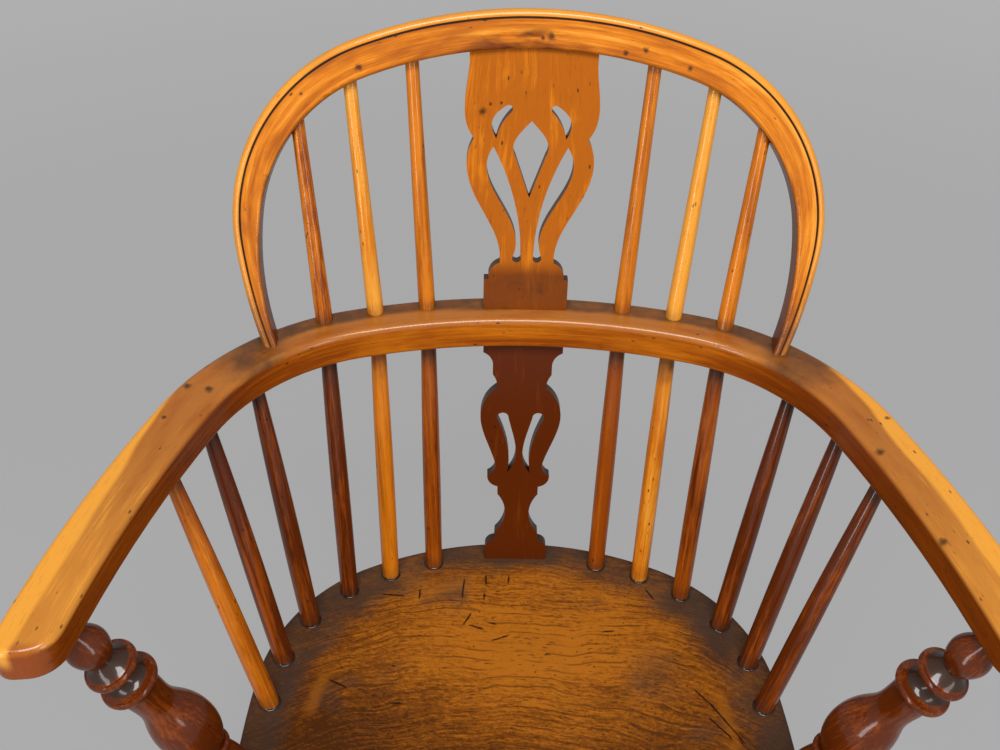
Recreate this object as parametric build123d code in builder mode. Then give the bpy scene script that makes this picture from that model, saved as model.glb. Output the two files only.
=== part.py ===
"""Low-back windsor armchair: a dished plank seat on turned legs, sticks, a bent arm bow and a hooped back.

Millimetres, +Z up. The origin is on the floor under the middle of the chair, and the sitter faces -Y.
Every joint is a tenon in a socket that is larger by FIT all round.
"""
import os
from math import acos, cos, degrees, radians, sin

from build123d import *

# Fit of every tenon in its socket
FIT = 0.15

# Seat: a plank whose outline is a chain of arcs, from the middle of the back to the front
SEAT_HEIGHT = 425.0
SEAT_CENTRE_Y = -46.0
SEAT_THICKNESS = 42.0
SEAT_BACK = 203.8
SEAT_BACK_RADIUS = 282.0
SEAT_BACK_TURN = 26.2
SEAT_SHOULDER_RADIUS = 146.0
SEAT_SHOULDER_TURN = 57.6
SEAT_FLANK_RADIUS = 818.0
SEAT_FLANK_TURN = 12.0
SEAT_CORNER_RADIUS = 70.0
SEAT_CORNER_TURN = 70.0
SEAT_TOP_ROUND = 5.0
SEAT_UNDER_BEVEL = 14.0
DISH_RADIUS = 166.0
DISH_DEPTH = 11.0

# Arm bow: one bent bar, flat on top, held level above the seat
ARM_HEIGHT = 243.0
ARM_THICKNESS = 26.0
ARM_BACK = 238.7
ARM_WIDTH_BACK = 31.0
ARM_WIDTH_BEND = 43.0
ARM_WIDTH_SIDE = 36.0
ARM_BACK_RADIUS = 474.0
ARM_BACK_TURN = 16.1
ARM_BEND_RADIUS = 187.0
ARM_BEND_TURN = 52.3
ARM_SIDE_RADIUS = 979.0
ARM_SIDE_TURN = 12.7
ARM_NOSE_OUTER = 11.0
ARM_NOSE_INNER = 23.0
ARM_TOP_ROUND = 4.5
ARM_UNDER_ROUND = 3.0

# Hoop: the bent back bow, flat in a plane that leans back from the arm bow
HOOP_FOOT_Y = 182.0
HOOP_RECLINE = 22.9
HOOP_HEIGHT = 234.9
HOOP_DEPTH = 20.0
HOOP_WIDTH_CROWN = 26.0
HOOP_WIDTH_SIDE = 15.0
HOOP_CROWN_RADIUS = 348.0
HOOP_CROWN_TURN = 20.5
HOOP_SHOULDER_RADIUS = 134.0
HOOP_SHOULDER_TURN = 76.7
HOOP_LEG_RADIUS = 382.0
HOOP_INNER_SHOULDER_TURN = 62.0
HOOP_INNER_LEG_RADIUS = 220.0
HOOP_FOOT_SPARE = 14.0
HOOP_OUTER_ROUND = 4.0
HOOP_INNER_ROUND = 3.0
HOOP_BEAD = 5.0
HOOP_GROOVE = 1.4
HOOP_TENON_DIAMETER = 8.4
HOOP_TENON_LENGTH = 16.0

# Sticks: places are measured along the seat's hole line, the arm's hole line and the hoop's middle line
STICK_EDGE = 16.0
STICK_COUNT = 3
SEAT_LONG_FIRST = 70.5
SEAT_LONG_PITCH = 38.4
SEAT_SHORT_FIRST = 190.0
SEAT_SHORT_PITCH = 41.5
ARM_HOLE_SHIFT = 4.5
ARM_LONG_FIRST = 73.8
ARM_LONG_PITCH = 39.0
ARM_SHORT_FIRST = 213.0
ARM_SHORT_PITCH = 50.0
HOOP_STICK_FIRST = 85.0
HOOP_STICK_PITCH = 45.5
STICK_SEAT_DIAMETER = 14.0
STICK_SWELL = 0.5
STICK_ARM_DIAMETER = 11.8
STICK_ABOVE_DIAMETER = 12.6
STICK_HOOP_DIAMETER = 9.6
SHORT_STICK_SEAT_DIAMETER = 15.0
SHORT_STICK_ARM_DIAMETER = 10.6
STICK_SEAT_TENON = 24.0
STICK_ARM_TENON = 14.0
STICK_KNEE = 4.0

# Splats: flat fretted boards, one below the arm bow and one above it
SPLAT_THICKNESS = 9.0
SPLAT_SEAT_Y = 188.5
SPLAT_UNDER_ARM_Y = 221.5
SPLAT_OVER_ARM_Y = 226.0
SPLAT_ARM_TENON = 8.0
SPLAT_SEAT_TENON = 14.0
SPLAT_HOOP_TENON = 11.0

# Lower fretwork, as (half width, height) points on a board of this length from the seat to the arm bow
LOWER_PATTERN = 219.5
LOWER_FOOT_WIDTH = 52.0
LOWER_TOP_WIDTH = 61.5
LOWER_BLOCK_TOP = 10.0
LOWER_OVOLO = ((24.0, 17.0), (18.5, 20.0))
LOWER_STEP = ((18.0, 29.0),)
LOWER_WAIST = ((10.0, 50.0), (16.7, 69.5))
LOWER_FILLET = ((16.7, 77.5),)
LOWER_SCROLL = ((23.0, 81.0), (25.5, 88.5))
LOWER_NOTCH = ((21.0, 92.5), (19.0, 99.0))
LOWER_VASE = ((29.5, 132.0), (32.0, 149.0), (28.5, 163.0), (19.3, 174.0))
LOWER_NECK = ((20.2, 181.5), (23.0, 187.0))
LOWER_THROAT = ((23.0, 195.5),)
LOWER_CAVETTO_MIDDLE = (25.2, 202.5)
LOWER_CAVETTO_TOP = 207.0
LOWER_SLOT_OUTER = ((9.5, 91.5), (8.4, 108.0), (12.0, 128.0), (18.8, 146.0))
LOWER_SLOT_CROWN = ((15.0, 151.0), (10.0, 148.5))
LOWER_SLOT_INNER = ((3.8, 122.5), (3.2, 105.5))

# Upper fretwork, the same way, on a board from the arm bow to the hoop
UPPER_PATTERN = 195.8
UPPER_FOOT_WIDTH = 63.0
UPPER_TOP_WIDTH = 88.0
UPPER_BLOCK_TOP = 24.0
UPPER_STEP = ((28.0, 24.0),)
UPPER_OVOLO = ((26.0, 33.0), (20.0, 37.5))
UPPER_LOBE = ((23.5, 59.0), (40.0, 92.0), (45.3, 113.0), (40.2, 133.0))
UPPER_SHOULDER = ((45.8, 144.0), (47.0, 155.0))
UPPER_SHOULDER_TOP = 190.0
UPPER_SLOT_OUTER = ((26.4, 127.0), (31.0, 113.0), (19.8, 83.5), (10.6, 42.5))
UPPER_SLOT_TOE = ((7.6, 38.0), (4.6, 42.5))
UPPER_SLOT_INNER = ((9.8, 83.5),)
UPPER_COMMA_OUTER = ((24.6, 133.0), (28.0, 143.0), (17.4, 157.0))
UPPER_COMMA_END = ((14.0, 156.0), (14.0, 152.5))
UPPER_COMMA_INNER = ((20.0, 145.0),)
UPPER_OGEE = ((0.0, 146.0), (5.0, 140.5), (12.3, 128.5), (10.8, 120.0))
UPPER_OGEE_TIP = ((0.0, 89.0),)

# Arm supports: turned posts with a cup, two rings, a belly and a collar, measured down from the arm bow
SUPPORT_SEAT_AT = 339.0
SUPPORT_ARM_AT = 445.0
SUPPORT_ARM_INSET = 6.5
SUPPORT_TOP = 19.0
SUPPORT_TOP_AT = 10.0
SUPPORT_CUP = 28.0
SUPPORT_CUP_AT = 21.5
SUPPORT_CUP_RIM = 24.5
SUPPORT_CUP_RIM_AT = 31.0
SUPPORT_NECK = 16.0
SUPPORT_NECK_AT = 38.0
SUPPORT_RING = 36.0
SUPPORT_RING_AT = 49.0
SUPPORT_LOW_RING = 39.5
SUPPORT_LOW_RING_AT = 69.5
SUPPORT_RING_WIDTH = 5.6
SUPPORT_RING_ROUND = 2.0
SUPPORT_RING_STEP = 3.0
SUPPORT_RING_COVE = 5.5
SUPPORT_COVE = 19.5
SUPPORT_SHANK = 27.5
SUPPORT_SHANK_AT = 86.0
SUPPORT_SHANK_END = 105.0
SUPPORT_BELLY = 43.0
SUPPORT_BELLY_AT = 138.0
SUPPORT_BELLY_EDGE = 36.5
SUPPORT_BELLY_RUN = 19.0
SUPPORT_STEM = 19.0
SUPPORT_COLLAR = 28.0
SUPPORT_COLLAR_AT = 173.0
SUPPORT_COLLAR_WIDTH = 6.0
SUPPORT_FOOT = 25.0
SUPPORT_SEAT_TENON = 26.0
SUPPORT_TENON = 15.0
SUPPORT_TENON_LENGTH = 18.0
PEG_DIAMETER = 6.0
PEG_PAST_TENON = 4.0

# Legs: four turned legs, splayed both ways, with a ring, a swell at the stretcher and a bulb foot;
# a share is a part of the leg's length, down from the seat
LEG_FRONT_X = 150.0
LEG_FRONT_Y = -118.0
LEG_FRONT_SPLAY_X = 46.0
LEG_FRONT_SPLAY_Y = -52.0
LEG_BACK_X = 134.0
LEG_BACK_Y = 112.0
LEG_BACK_SPLAY_X = 50.0
LEG_BACK_SPLAY_Y = 100.0
LEG_TENON = 29.0
LEG_TENON_LENGTH = 25.0
LEG_SHAFT = 37.0
LEG_SHAFT_SHARE = 0.18
LEG_WAIST = 31.0
LEG_RING = 42.0
LEG_RING_SHARE = 0.275
LEG_RING_WIDTH = 8.0
LEG_RING_ROUND = 4.0
LEG_BELLY = 46.0
LEG_BELLY_SHARE = 0.1
LEG_BELLY_DROP = 8.0
LEG_ANKLE = 28.0
LEG_FOOT_RING = 37.0
LEG_FOOT_RING_SHARE = 0.765
LEG_FOOT = 38.0
LEG_FOOT_SHARE = 0.883
LEG_TOE = 26.0

# Stretcher: a bow between the front legs, and a spur from each back leg to it
STRETCHER_SHARE = 0.49
STRETCHER_DIAMETER = 21.0
STRETCHER_DEPTH = 115.0
SPUR_SHARE = 0.2
SPUR_DIAMETER = 22.0
SPUR_TENON = 12.0
SPUR_NECK = 4.0
SPUR_BOW_TENON = 12.0
SPUR_LEG_TENON = 17.0

# Levels and planes that the pieces share
SEAT_PLANE = Plane((0, SEAT_CENTRE_Y, SEAT_HEIGHT))
SEAT_UNDER = SEAT_HEIGHT - SEAT_THICKNESS
ARM_UNDER = ARM_HEIGHT - ARM_THICKNESS
ARM_MIDDLE = ARM_HEIGHT - ARM_THICKNESS / 2
HOOP_PLANE = Plane(
    SEAT_PLANE.from_local_coords((0, HOOP_FOOT_Y, ARM_HEIGHT)),
    x_dir=(1, 0, 0),
    z_dir=(0, -cos(radians(HOOP_RECLINE)), sin(radians(HOOP_RECLINE))),
)


# Lines that the bent pieces follow

def arc_chain(start_y, radii, turns, insets):
    """Half of a bow's edge, from its middle outward, as smoothly joined arcs, each tighter by its inset."""
    end, tangent = (0, start_y - insets[0]), (1, 0)
    with BuildLine() as chain:
        for radius, turn, inset in zip(radii, turns, insets):
            arc = JernArc(end, tangent, radius - inset, -turn)
            end, tangent = arc @ 1, arc % 1
    return chain.edges()


def along(chain, distance):
    """The point at this distance along a chain of arcs, and the direction to its inner side."""
    for arc in chain:
        if distance <= arc.length or arc is chain[-1]:
            tangent = arc.tangent_at(distance / arc.length)
            return arc.position_at(distance / arc.length), Vector(tangent.Y, -tangent.X)
        distance -= arc.length


def seat_line(inset):
    """The seat's edge from the back to the front corner, or a line at this distance inside it."""
    return arc_chain(
        SEAT_BACK,
        (SEAT_BACK_RADIUS, SEAT_SHOULDER_RADIUS, SEAT_FLANK_RADIUS, SEAT_CORNER_RADIUS),
        (SEAT_BACK_TURN, SEAT_SHOULDER_TURN, SEAT_FLANK_TURN, SEAT_CORNER_TURN),
        (inset,) * 4,
    )


def arm_line(share, shift=0.0):
    """A line along the arm bow: share 0 is its outer edge and 1 its inner edge."""
    widths = (ARM_WIDTH_BACK, ARM_WIDTH_BEND, ARM_WIDTH_SIDE)
    return arc_chain(
        ARM_BACK,
        (ARM_BACK_RADIUS, ARM_BEND_RADIUS, ARM_SIDE_RADIUS),
        (ARM_BACK_TURN, ARM_BEND_TURN, ARM_SIDE_TURN),
        [share * width - shift for width in widths],
    )


HOOP_RADII = (HOOP_CROWN_RADIUS, HOOP_SHOULDER_RADIUS, HOOP_LEG_RADIUS)
HOOP_TURNS = (HOOP_CROWN_TURN, HOOP_SHOULDER_TURN)
HOOP_INNER_RADII = (
    HOOP_CROWN_RADIUS - HOOP_WIDTH_CROWN, HOOP_SHOULDER_RADIUS - HOOP_WIDTH_SIDE, HOOP_INNER_LEG_RADIUS
)
HOOP_INNER_TURNS = (HOOP_CROWN_TURN, HOOP_INNER_SHOULDER_TURN)


def hoop_edge(top, radii, turns):
    """Half of a line along the hoop in its own plane, from this height to a little past the arm bow.

    Gives its arcs, how far out it meets the arm bow, and its heading there.
    """
    straight = (0,) * len(radii)
    bend = arc_chain(top, radii, turns, straight)[-1] @ 1
    begin = radians(sum(turns))
    end = acos(cos(begin) - bend.Y / radii[-1])
    meeting = bend.X + radii[-1] * (sin(end) - sin(begin))
    leg_turn = degrees(end - begin + HOOP_FOOT_SPARE / radii[-1])
    return arc_chain(top, radii, (*turns, leg_turn), straight), meeting, end


def hoop_inset(inset):
    """The arcs of a line at this distance inside the hoop's outer edge."""
    return hoop_edge(HOOP_HEIGHT - inset, [radius - inset for radius in HOOP_RADII], HOOP_TURNS)[0]


# The legs thin towards their feet, because the inner edge bends on more gently there
hoop_outer, outer_foot_x, hoop_leg_end = hoop_edge(HOOP_HEIGHT, HOOP_RADII, HOOP_TURNS)
hoop_inner, inner_foot_x, _ = hoop_edge(HOOP_HEIGHT - HOOP_WIDTH_CROWN, HOOP_INNER_RADII, HOOP_INNER_TURNS)
hoop_foot_x = (outer_foot_x + inner_foot_x) / 2
HOOP_MIDDLE_RADII = [sum(pair) / 2 for pair in zip(HOOP_RADII, HOOP_INNER_RADII)]


# Shapes that several pieces use

def bow_band(outer, inner, plane, thickness):
    """A flat bent bar between two half edges and their mirror images, this thick below its plane."""
    with BuildPart() as band:
        with BuildSketch(plane):
            with BuildLine():
                add(outer)
                add(inner)
                Line(outer[-1] @ 1, inner[-1] @ 1)
                mirror(about=Plane.YZ)
            make_face()
        extrude(amount=-thickness)
    return band.part


def toward(start, end, distance):
    """The point at this distance from the start on the line to the end; less than 0 is behind the start."""
    return start + (end - start).normalized() * distance


def rod(start, end, diameter):
    """A plain round bar between two points."""
    axis = end - start
    with BuildPart(Plane(start, z_dir=axis)) as bar:
        Cylinder(diameter / 2, axis.length, align=(Align.CENTER, Align.CENTER, Align.MIN))
    return bar.part


def turning(start, end, first, *runs):
    """A turned bar, from (distance, diameter) stations along the line between two points.

    A run of one station is straight, of two an arc through the first, and of more a smooth curve.
    """
    axis = (end - start).normalized()
    side = axis.cross(Vector(0, 1, 0)).normalized()
    lathe = Plane(start, x_dir=side, z_dir=side.cross(axis))
    with BuildPart() as bar:
        with BuildSketch(lathe):
            with BuildLine():
                here = (first[1] / 2, first[0])
                Line((0, first[0]), here)
                for run in runs:
                    points = [(diameter / 2, distance) for distance, diameter in run]
                    if len(points) == 1:
                        Line(here, *points)
                    elif len(points) == 2:
                        ThreePointArc(here, *points)
                    else:
                        Spline(here, *points)
                    here = points[-1]
                Polyline(here, (0, here[1]), (0, first[0]))
            make_face()
        revolve(axis=Axis(lathe.origin, lathe.y_dir))
    return bar.part


def board_block(plane, width, low, high, slack=0.0):
    """A square-edged stretch of a splat between two heights on its plane, for a mortise."""
    with BuildPart() as block:
        with BuildSketch(plane):
            with Locations((0, (low + high) / 2)):
                Rectangle(width + 2 * slack, high - low + 2 * slack)
        extrude(amount=SPLAT_THICKNESS / 2 + slack, both=True)
    return block.part


def mirrored(solid):
    """The left-hand copy of a right-hand piece."""
    return mirror(solid, about=Plane.YZ)


def both_sides(solids):
    """Right-hand tools and their left-hand copies."""
    return [*solids, *map(mirrored, solids)]


def save(solid, label):
    """Name a finished piece and write its file."""
    solid.label = label
    export_step(solid, f"parts/{label}.step")


def save_pair(solid, label):
    """Write a right-hand piece and its left-hand copy."""
    save(solid, f"{label}_right")
    save(mirrored(solid), f"{label}_left")


os.makedirs("parts", exist_ok=True)

# Places where the pieces meet, on the chair's right-hand side
seat_holes = seat_line(STICK_EDGE)
arm_holes = arm_line(0.5, ARM_HOLE_SHIFT)
hoop_middle = hoop_edge(HOOP_HEIGHT - HOOP_WIDTH_CROWN / 2, HOOP_MIDDLE_RADII, HOOP_TURNS)[0]


def on_seat(distance):
    """A place on the seat's hole line, at the seat's top."""
    return SEAT_PLANE.from_local_coords(along(seat_holes, distance)[0])


def on_arm(chain, distance, level):
    """A place on a line of the arm bow, at this level above the seat."""
    return SEAT_PLANE.from_local_coords(along(chain, distance)[0] + Vector(0, 0, level))


def on_hoop(distance):
    """A place on the hoop's middle line."""
    return HOOP_PLANE.from_local_coords(along(hoop_middle, distance)[0])


long_sticks = []
short_sticks = []
for number in range(STICK_COUNT):
    long_sticks.append((
        on_seat(SEAT_LONG_FIRST + number * SEAT_LONG_PITCH),
        on_arm(arm_holes, ARM_LONG_FIRST + number * ARM_LONG_PITCH, ARM_MIDDLE),
        on_hoop(HOOP_STICK_FIRST + number * HOOP_STICK_PITCH),
    ))
    short_sticks.append((
        on_seat(SEAT_SHORT_FIRST + number * SEAT_SHORT_PITCH),
        on_arm(arm_holes, ARM_SHORT_FIRST + number * ARM_SHORT_PITCH, ARM_UNDER),
    ))

# The hoop's foot, and the way that it points there
hoop_foot = HOOP_PLANE.from_local_coords((hoop_foot_x, 0))
hoop_foot_way = HOOP_PLANE.x_dir * cos(hoop_leg_end) - HOOP_PLANE.y_dir * sin(hoop_leg_end)


def hoop_tenon(slack=0.0):
    """The round tenon of the hoop's foot in the arm bow, or its socket."""
    return rod(
        hoop_foot - hoop_foot_way * HOOP_TENON_DIAMETER,
        hoop_foot + hoop_foot_way * (HOOP_TENON_LENGTH + slack),
        HOOP_TENON_DIAMETER + 2 * slack,
    )


# An arm support's two ends, and the peg that holds its tenon in the arm bow
support_foot = on_seat(SUPPORT_SEAT_AT)
support_line = arm_line(0.5, -SUPPORT_ARM_INSET)
support_head = on_arm(support_line, SUPPORT_ARM_AT, ARM_UNDER)
support_length = (support_head - support_foot).length
support_rise = (support_head - support_foot).normalized()
peg_inward = along(support_line, SUPPORT_ARM_AT)[1]
peg_middle = support_head + support_rise * (ARM_THICKNESS / 2 / support_rise.Z)


def support_tenon(slack=0.0):
    """The round tenon at the top of an arm support, or its socket in the arm bow."""
    return rod(
        support_head - support_rise * SUPPORT_TENON,
        support_head + support_rise * (SUPPORT_TENON_LENGTH + slack),
        SUPPORT_TENON + 2 * slack,
    )


def peg_rod(slack=0.0):
    """The peg's round bar, or its hole, from outside the arm's inner face to just past the tenon."""
    return rod(
        peg_middle + peg_inward * ARM_WIDTH_SIDE,
        peg_middle - peg_inward * (SUPPORT_TENON / 2 + PEG_PAST_TENON + slack),
        PEG_DIAMETER + 2 * slack,
    )


def seat_socket(foot, head, tenon, diameter):
    """The socket in the seat's top for a bar that stands on it."""
    return rod(toward(foot, head, -tenon - FIT), head, diameter + 2 * FIT)


# The legs' axes, and where the stretcher meets them
front_leg_top = Vector(LEG_FRONT_X, SEAT_CENTRE_Y + LEG_FRONT_Y, SEAT_UNDER)
front_leg_toe = Vector(front_leg_top.X + LEG_FRONT_SPLAY_X, front_leg_top.Y + LEG_FRONT_SPLAY_Y, 0)
back_leg_top = Vector(LEG_BACK_X, SEAT_CENTRE_Y + LEG_BACK_Y, SEAT_UNDER)
back_leg_toe = Vector(back_leg_top.X + LEG_BACK_SPLAY_X, back_leg_top.Y + LEG_BACK_SPLAY_Y, 0)
front_joint = front_leg_top + (front_leg_toe - front_leg_top) * STRETCHER_SHARE
back_joint = back_leg_top + (back_leg_toe - back_leg_top) * STRETCHER_SHARE

with BuildLine() as stretcher_line:
    ThreePointArc(
        (-front_joint.X, front_joint.Y, front_joint.Z),
        (0, front_joint.Y + STRETCHER_DEPTH, front_joint.Z),
        front_joint,
    )
stretcher_arc = stretcher_line.edge()
spur_joint = stretcher_arc.position_at(1 - SPUR_SHARE)


def leg_socket(top, toe):
    """The socket for a leg's tenon, in the seat's underside."""
    return rod(toe, toward(top, toe, -LEG_TENON_LENGTH - FIT), LEG_TENON + 2 * FIT)


def stretcher_bar(slack=0.0):
    """The stretcher's bent round bar, whose ends stop short of the legs' axes, or its holes in the legs."""
    short = (FIT - slack) / stretcher_arc.length
    path = stretcher_arc.trim(short, 1 - short)
    with BuildPart() as bar:
        with BuildSketch(Plane(path @ 0, z_dir=path % 0)):
            Circle(STRETCHER_DIAMETER / 2 + slack)
        sweep(path=path)
    return bar.part


def spur_socket():
    """The holes for a spur's two tenons, as one bar from end to end."""
    return rod(
        toward(spur_joint, back_joint, STRETCHER_DIAMETER / 2 - SPUR_BOW_TENON - FIT),
        toward(back_joint, spur_joint, LEG_BELLY / 2 - SPUR_LEG_TENON - FIT),
        SPUR_TENON + 2 * FIT,
    )


# The splats' planes, with Y up each board from its foot, and the stretch of their fretwork

def board_plane(foot, head):
    """A plane on the chair's middle, with Y from a board's foot to its head."""
    return Plane(foot, x_dir=(1, 0, 0), z_dir=Vector(1, 0, 0).cross(head - foot))


lower_foot = SEAT_PLANE.from_local_coords((0, SPLAT_SEAT_Y, 0))
lower_head = SEAT_PLANE.from_local_coords((0, SPLAT_UNDER_ARM_Y, ARM_UNDER))
lower_plane = board_plane(lower_foot, lower_head)
lower_length = (lower_head - lower_foot).length
upper_foot = SEAT_PLANE.from_local_coords((0, SPLAT_OVER_ARM_Y, ARM_HEIGHT))
upper_head = HOOP_PLANE.from_local_coords((0, HOOP_HEIGHT - HOOP_WIDTH_CROWN))
upper_plane = board_plane(upper_foot, upper_head)
upper_length = (upper_head - upper_foot).length


def low(points):
    """Points of the lower fretwork, drawn out to the board's real length."""
    return [(x, y * lower_length / LOWER_PATTERN) for x, y in points]


def high(points):
    """Points of the upper fretwork, drawn out to the board's real length."""
    return [(x, y * upper_length / UPPER_PATTERN) for x, y in points]


# Seat
sockets = [
    leg_socket(front_leg_top, front_leg_toe),
    leg_socket(back_leg_top, back_leg_toe),
    seat_socket(support_foot, support_head, SUPPORT_SEAT_TENON, SUPPORT_STEM),
]
for foot, arm, _ in long_sticks:
    sockets.append(seat_socket(foot, arm, STICK_SEAT_TENON, STICK_SEAT_DIAMETER))
for foot, arm in short_sticks:
    sockets.append(seat_socket(foot, arm, STICK_SEAT_TENON, SHORT_STICK_SEAT_DIAMETER))
seat_tools = both_sides(sockets)
seat_tools.append(board_block(lower_plane, LOWER_FOOT_WIDTH, -SPLAT_SEAT_TENON, lower_length, FIT))
dish_sphere = (DISH_RADIUS**2 + DISH_DEPTH**2) / (2 * DISH_DEPTH)
seat_side = seat_line(0)
seat_corner = seat_side[-1]
front_turn = 180 - SEAT_BACK_TURN - SEAT_SHOULDER_TURN - SEAT_FLANK_TURN - SEAT_CORNER_TURN

with BuildPart() as seat:
    with BuildSketch(SEAT_PLANE):
        with BuildLine():
            add(seat_side)
            front_radius = (seat_corner @ 1).X / sin(radians(front_turn))
            JernArc(seat_corner @ 1, seat_corner % 1, front_radius, -front_turn)
            mirror(about=Plane.YZ)
        make_face()
    extrude(amount=-SEAT_THICKNESS)
    fillet(seat.faces().sort_by(Axis.Z)[-1].edges(), SEAT_TOP_ROUND)
    chamfer(seat.faces().sort_by(Axis.Z)[0].edges(), SEAT_UNDER_BEVEL)
    with Locations(SEAT_PLANE.from_local_coords((0, 0, dish_sphere - DISH_DEPTH))):
        Sphere(dish_sphere, mode=Mode.SUBTRACT)
    add(seat_tools, mode=Mode.SUBTRACT)
save(seat.part, "seat")

# Arm bow, first as a whole bar and then with its holes
arm_band = bow_band(arm_line(0), arm_line(1), SEAT_PLANE.offset(ARM_HEIGHT), ARM_THICKNESS)
noses = []
for share, radius in ((0, ARM_NOSE_OUTER), (1, ARM_NOSE_INNER)):
    nose = SEAT_PLANE.from_local_coords(arm_line(share)[-1] @ 1 + Vector(0, 0, ARM_MIDDLE))
    noses += [(nose, radius), (Vector(-nose.X, nose.Y, nose.Z), radius)]

with BuildPart() as arm_bar:
    add(arm_band)
    for nose, radius in noses:
        fillet(arm_bar.edges().filter_by(Axis.Z).sort_by_distance(nose)[0], radius)
    fillet(arm_bar.faces().sort_by(Axis.Z)[-1].edges(), ARM_TOP_ROUND)
    fillet(arm_bar.faces().sort_by(Axis.Z)[0].edges(), ARM_UNDER_ROUND)

holes = [hoop_tenon(FIT), support_tenon(FIT), peg_rod(FIT)]
for foot, arm, tip in long_sticks:
    holes.append(rod(foot, toward(arm, foot, -STICK_KNEE - FIT), STICK_ARM_DIAMETER + 2 * FIT))
    holes.append(rod(toward(arm, tip, -STICK_KNEE - FIT), tip, STICK_ABOVE_DIAMETER + 2 * FIT))
for foot, arm in short_sticks:
    holes.append(rod(foot, toward(arm, foot, -STICK_ARM_TENON - FIT), SHORT_STICK_ARM_DIAMETER + 2 * FIT))
arm_tools = both_sides(holes)
arm_tools.append(board_block(lower_plane, LOWER_TOP_WIDTH, 0, lower_length + SPLAT_ARM_TENON, FIT))
arm_tools.append(board_block(upper_plane, UPPER_FOOT_WIDTH, -SPLAT_ARM_TENON, upper_length, FIT))

with BuildPart() as arm_bow:
    add(arm_bar.part)
    add(arm_tools, mode=Mode.SUBTRACT)
save(arm_bow.part, "arm_bow")

# Hoop: the band is cut off level just above the arm bow, and a round tenon goes on from there
hoop_front = HOOP_PLANE.offset(HOOP_DEPTH / 2)
hoop_band = bow_band(hoop_outer, hoop_inner, hoop_front, HOOP_DEPTH)
hoop_groove = bow_band(hoop_inset(HOOP_BEAD), hoop_inset(HOOP_BEAD + HOOP_GROOVE), hoop_front, HOOP_GROOVE)
hoop_tenons = both_sides([hoop_tenon()])
hoop_tools = both_sides([
    rod(arm, toward(tip, arm, -FIT), STICK_HOOP_DIAMETER + 2 * FIT) for _, arm, tip in long_sticks
])
hoop_tools.append(board_block(upper_plane, UPPER_TOP_WIDTH, 0, upper_length + SPLAT_HOOP_TENON, FIT))

with BuildPart() as hoop:
    add(hoop_band)
    for radii, roundness in ((HOOP_INNER_RADII, HOOP_INNER_ROUND), (HOOP_RADII, HOOP_OUTER_ROUND)):
        arcs = hoop.faces().filter_by(HOOP_PLANE).edges().filter_by(GeomType.CIRCLE)
        fillet([arc for arc in arcs if min(abs(arc.radius - radius) for radius in radii) < FIT], roundness)
    add(hoop_groove, mode=Mode.SUBTRACT)
    split(bisect_by=SEAT_PLANE.offset(ARM_HEIGHT + FIT), keep=Keep.TOP)
    add(hoop_tenons)
    add(hoop_tools, mode=Mode.SUBTRACT)
save(hoop.part, "hoop")

# Long sticks, from the seat through the arm bow, where they bend a little, to the hoop
for number, (foot, arm, tip) in enumerate(long_sticks, 1):
    below = (arm - foot).length
    above = (tip - arm).length
    lower_run = turning(
        foot,
        arm,
        (-STICK_SEAT_TENON, STICK_SEAT_DIAMETER),
        [(0, STICK_SEAT_DIAMETER)],
        [(below / 3, STICK_SEAT_DIAMETER + STICK_SWELL), (below - ARM_THICKNESS, STICK_ARM_DIAMETER)],
        [(below + STICK_KNEE, STICK_ARM_DIAMETER)],
    )
    upper_run = turning(
        arm,
        tip,
        (-STICK_KNEE, STICK_ABOVE_DIAMETER),
        [(ARM_THICKNESS, STICK_ABOVE_DIAMETER)],
        [(above - HOOP_WIDTH_CROWN, STICK_HOOP_DIAMETER)],
        [(above, STICK_HOOP_DIAMETER)],
    )
    with BuildPart() as long_stick:
        add([lower_run, upper_run])
    save_pair(long_stick.part, f"long_stick_{number}")

# Short sticks, from the seat into the arm bow's underside
for number, (foot, arm) in enumerate(short_sticks, 1):
    run = (arm - foot).length
    swell = SHORT_STICK_SEAT_DIAMETER + STICK_SWELL
    short_stick = turning(
        foot,
        arm,
        (-STICK_SEAT_TENON, SHORT_STICK_SEAT_DIAMETER),
        [(0, SHORT_STICK_SEAT_DIAMETER)],
        [(run / 3, swell), (run - STICK_ARM_TENON, SHORT_STICK_ARM_DIAMETER)],
        [(run + STICK_ARM_TENON, SHORT_STICK_ARM_DIAMETER)],
    )
    save_pair(short_stick, f"short_stick_{number}")

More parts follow.
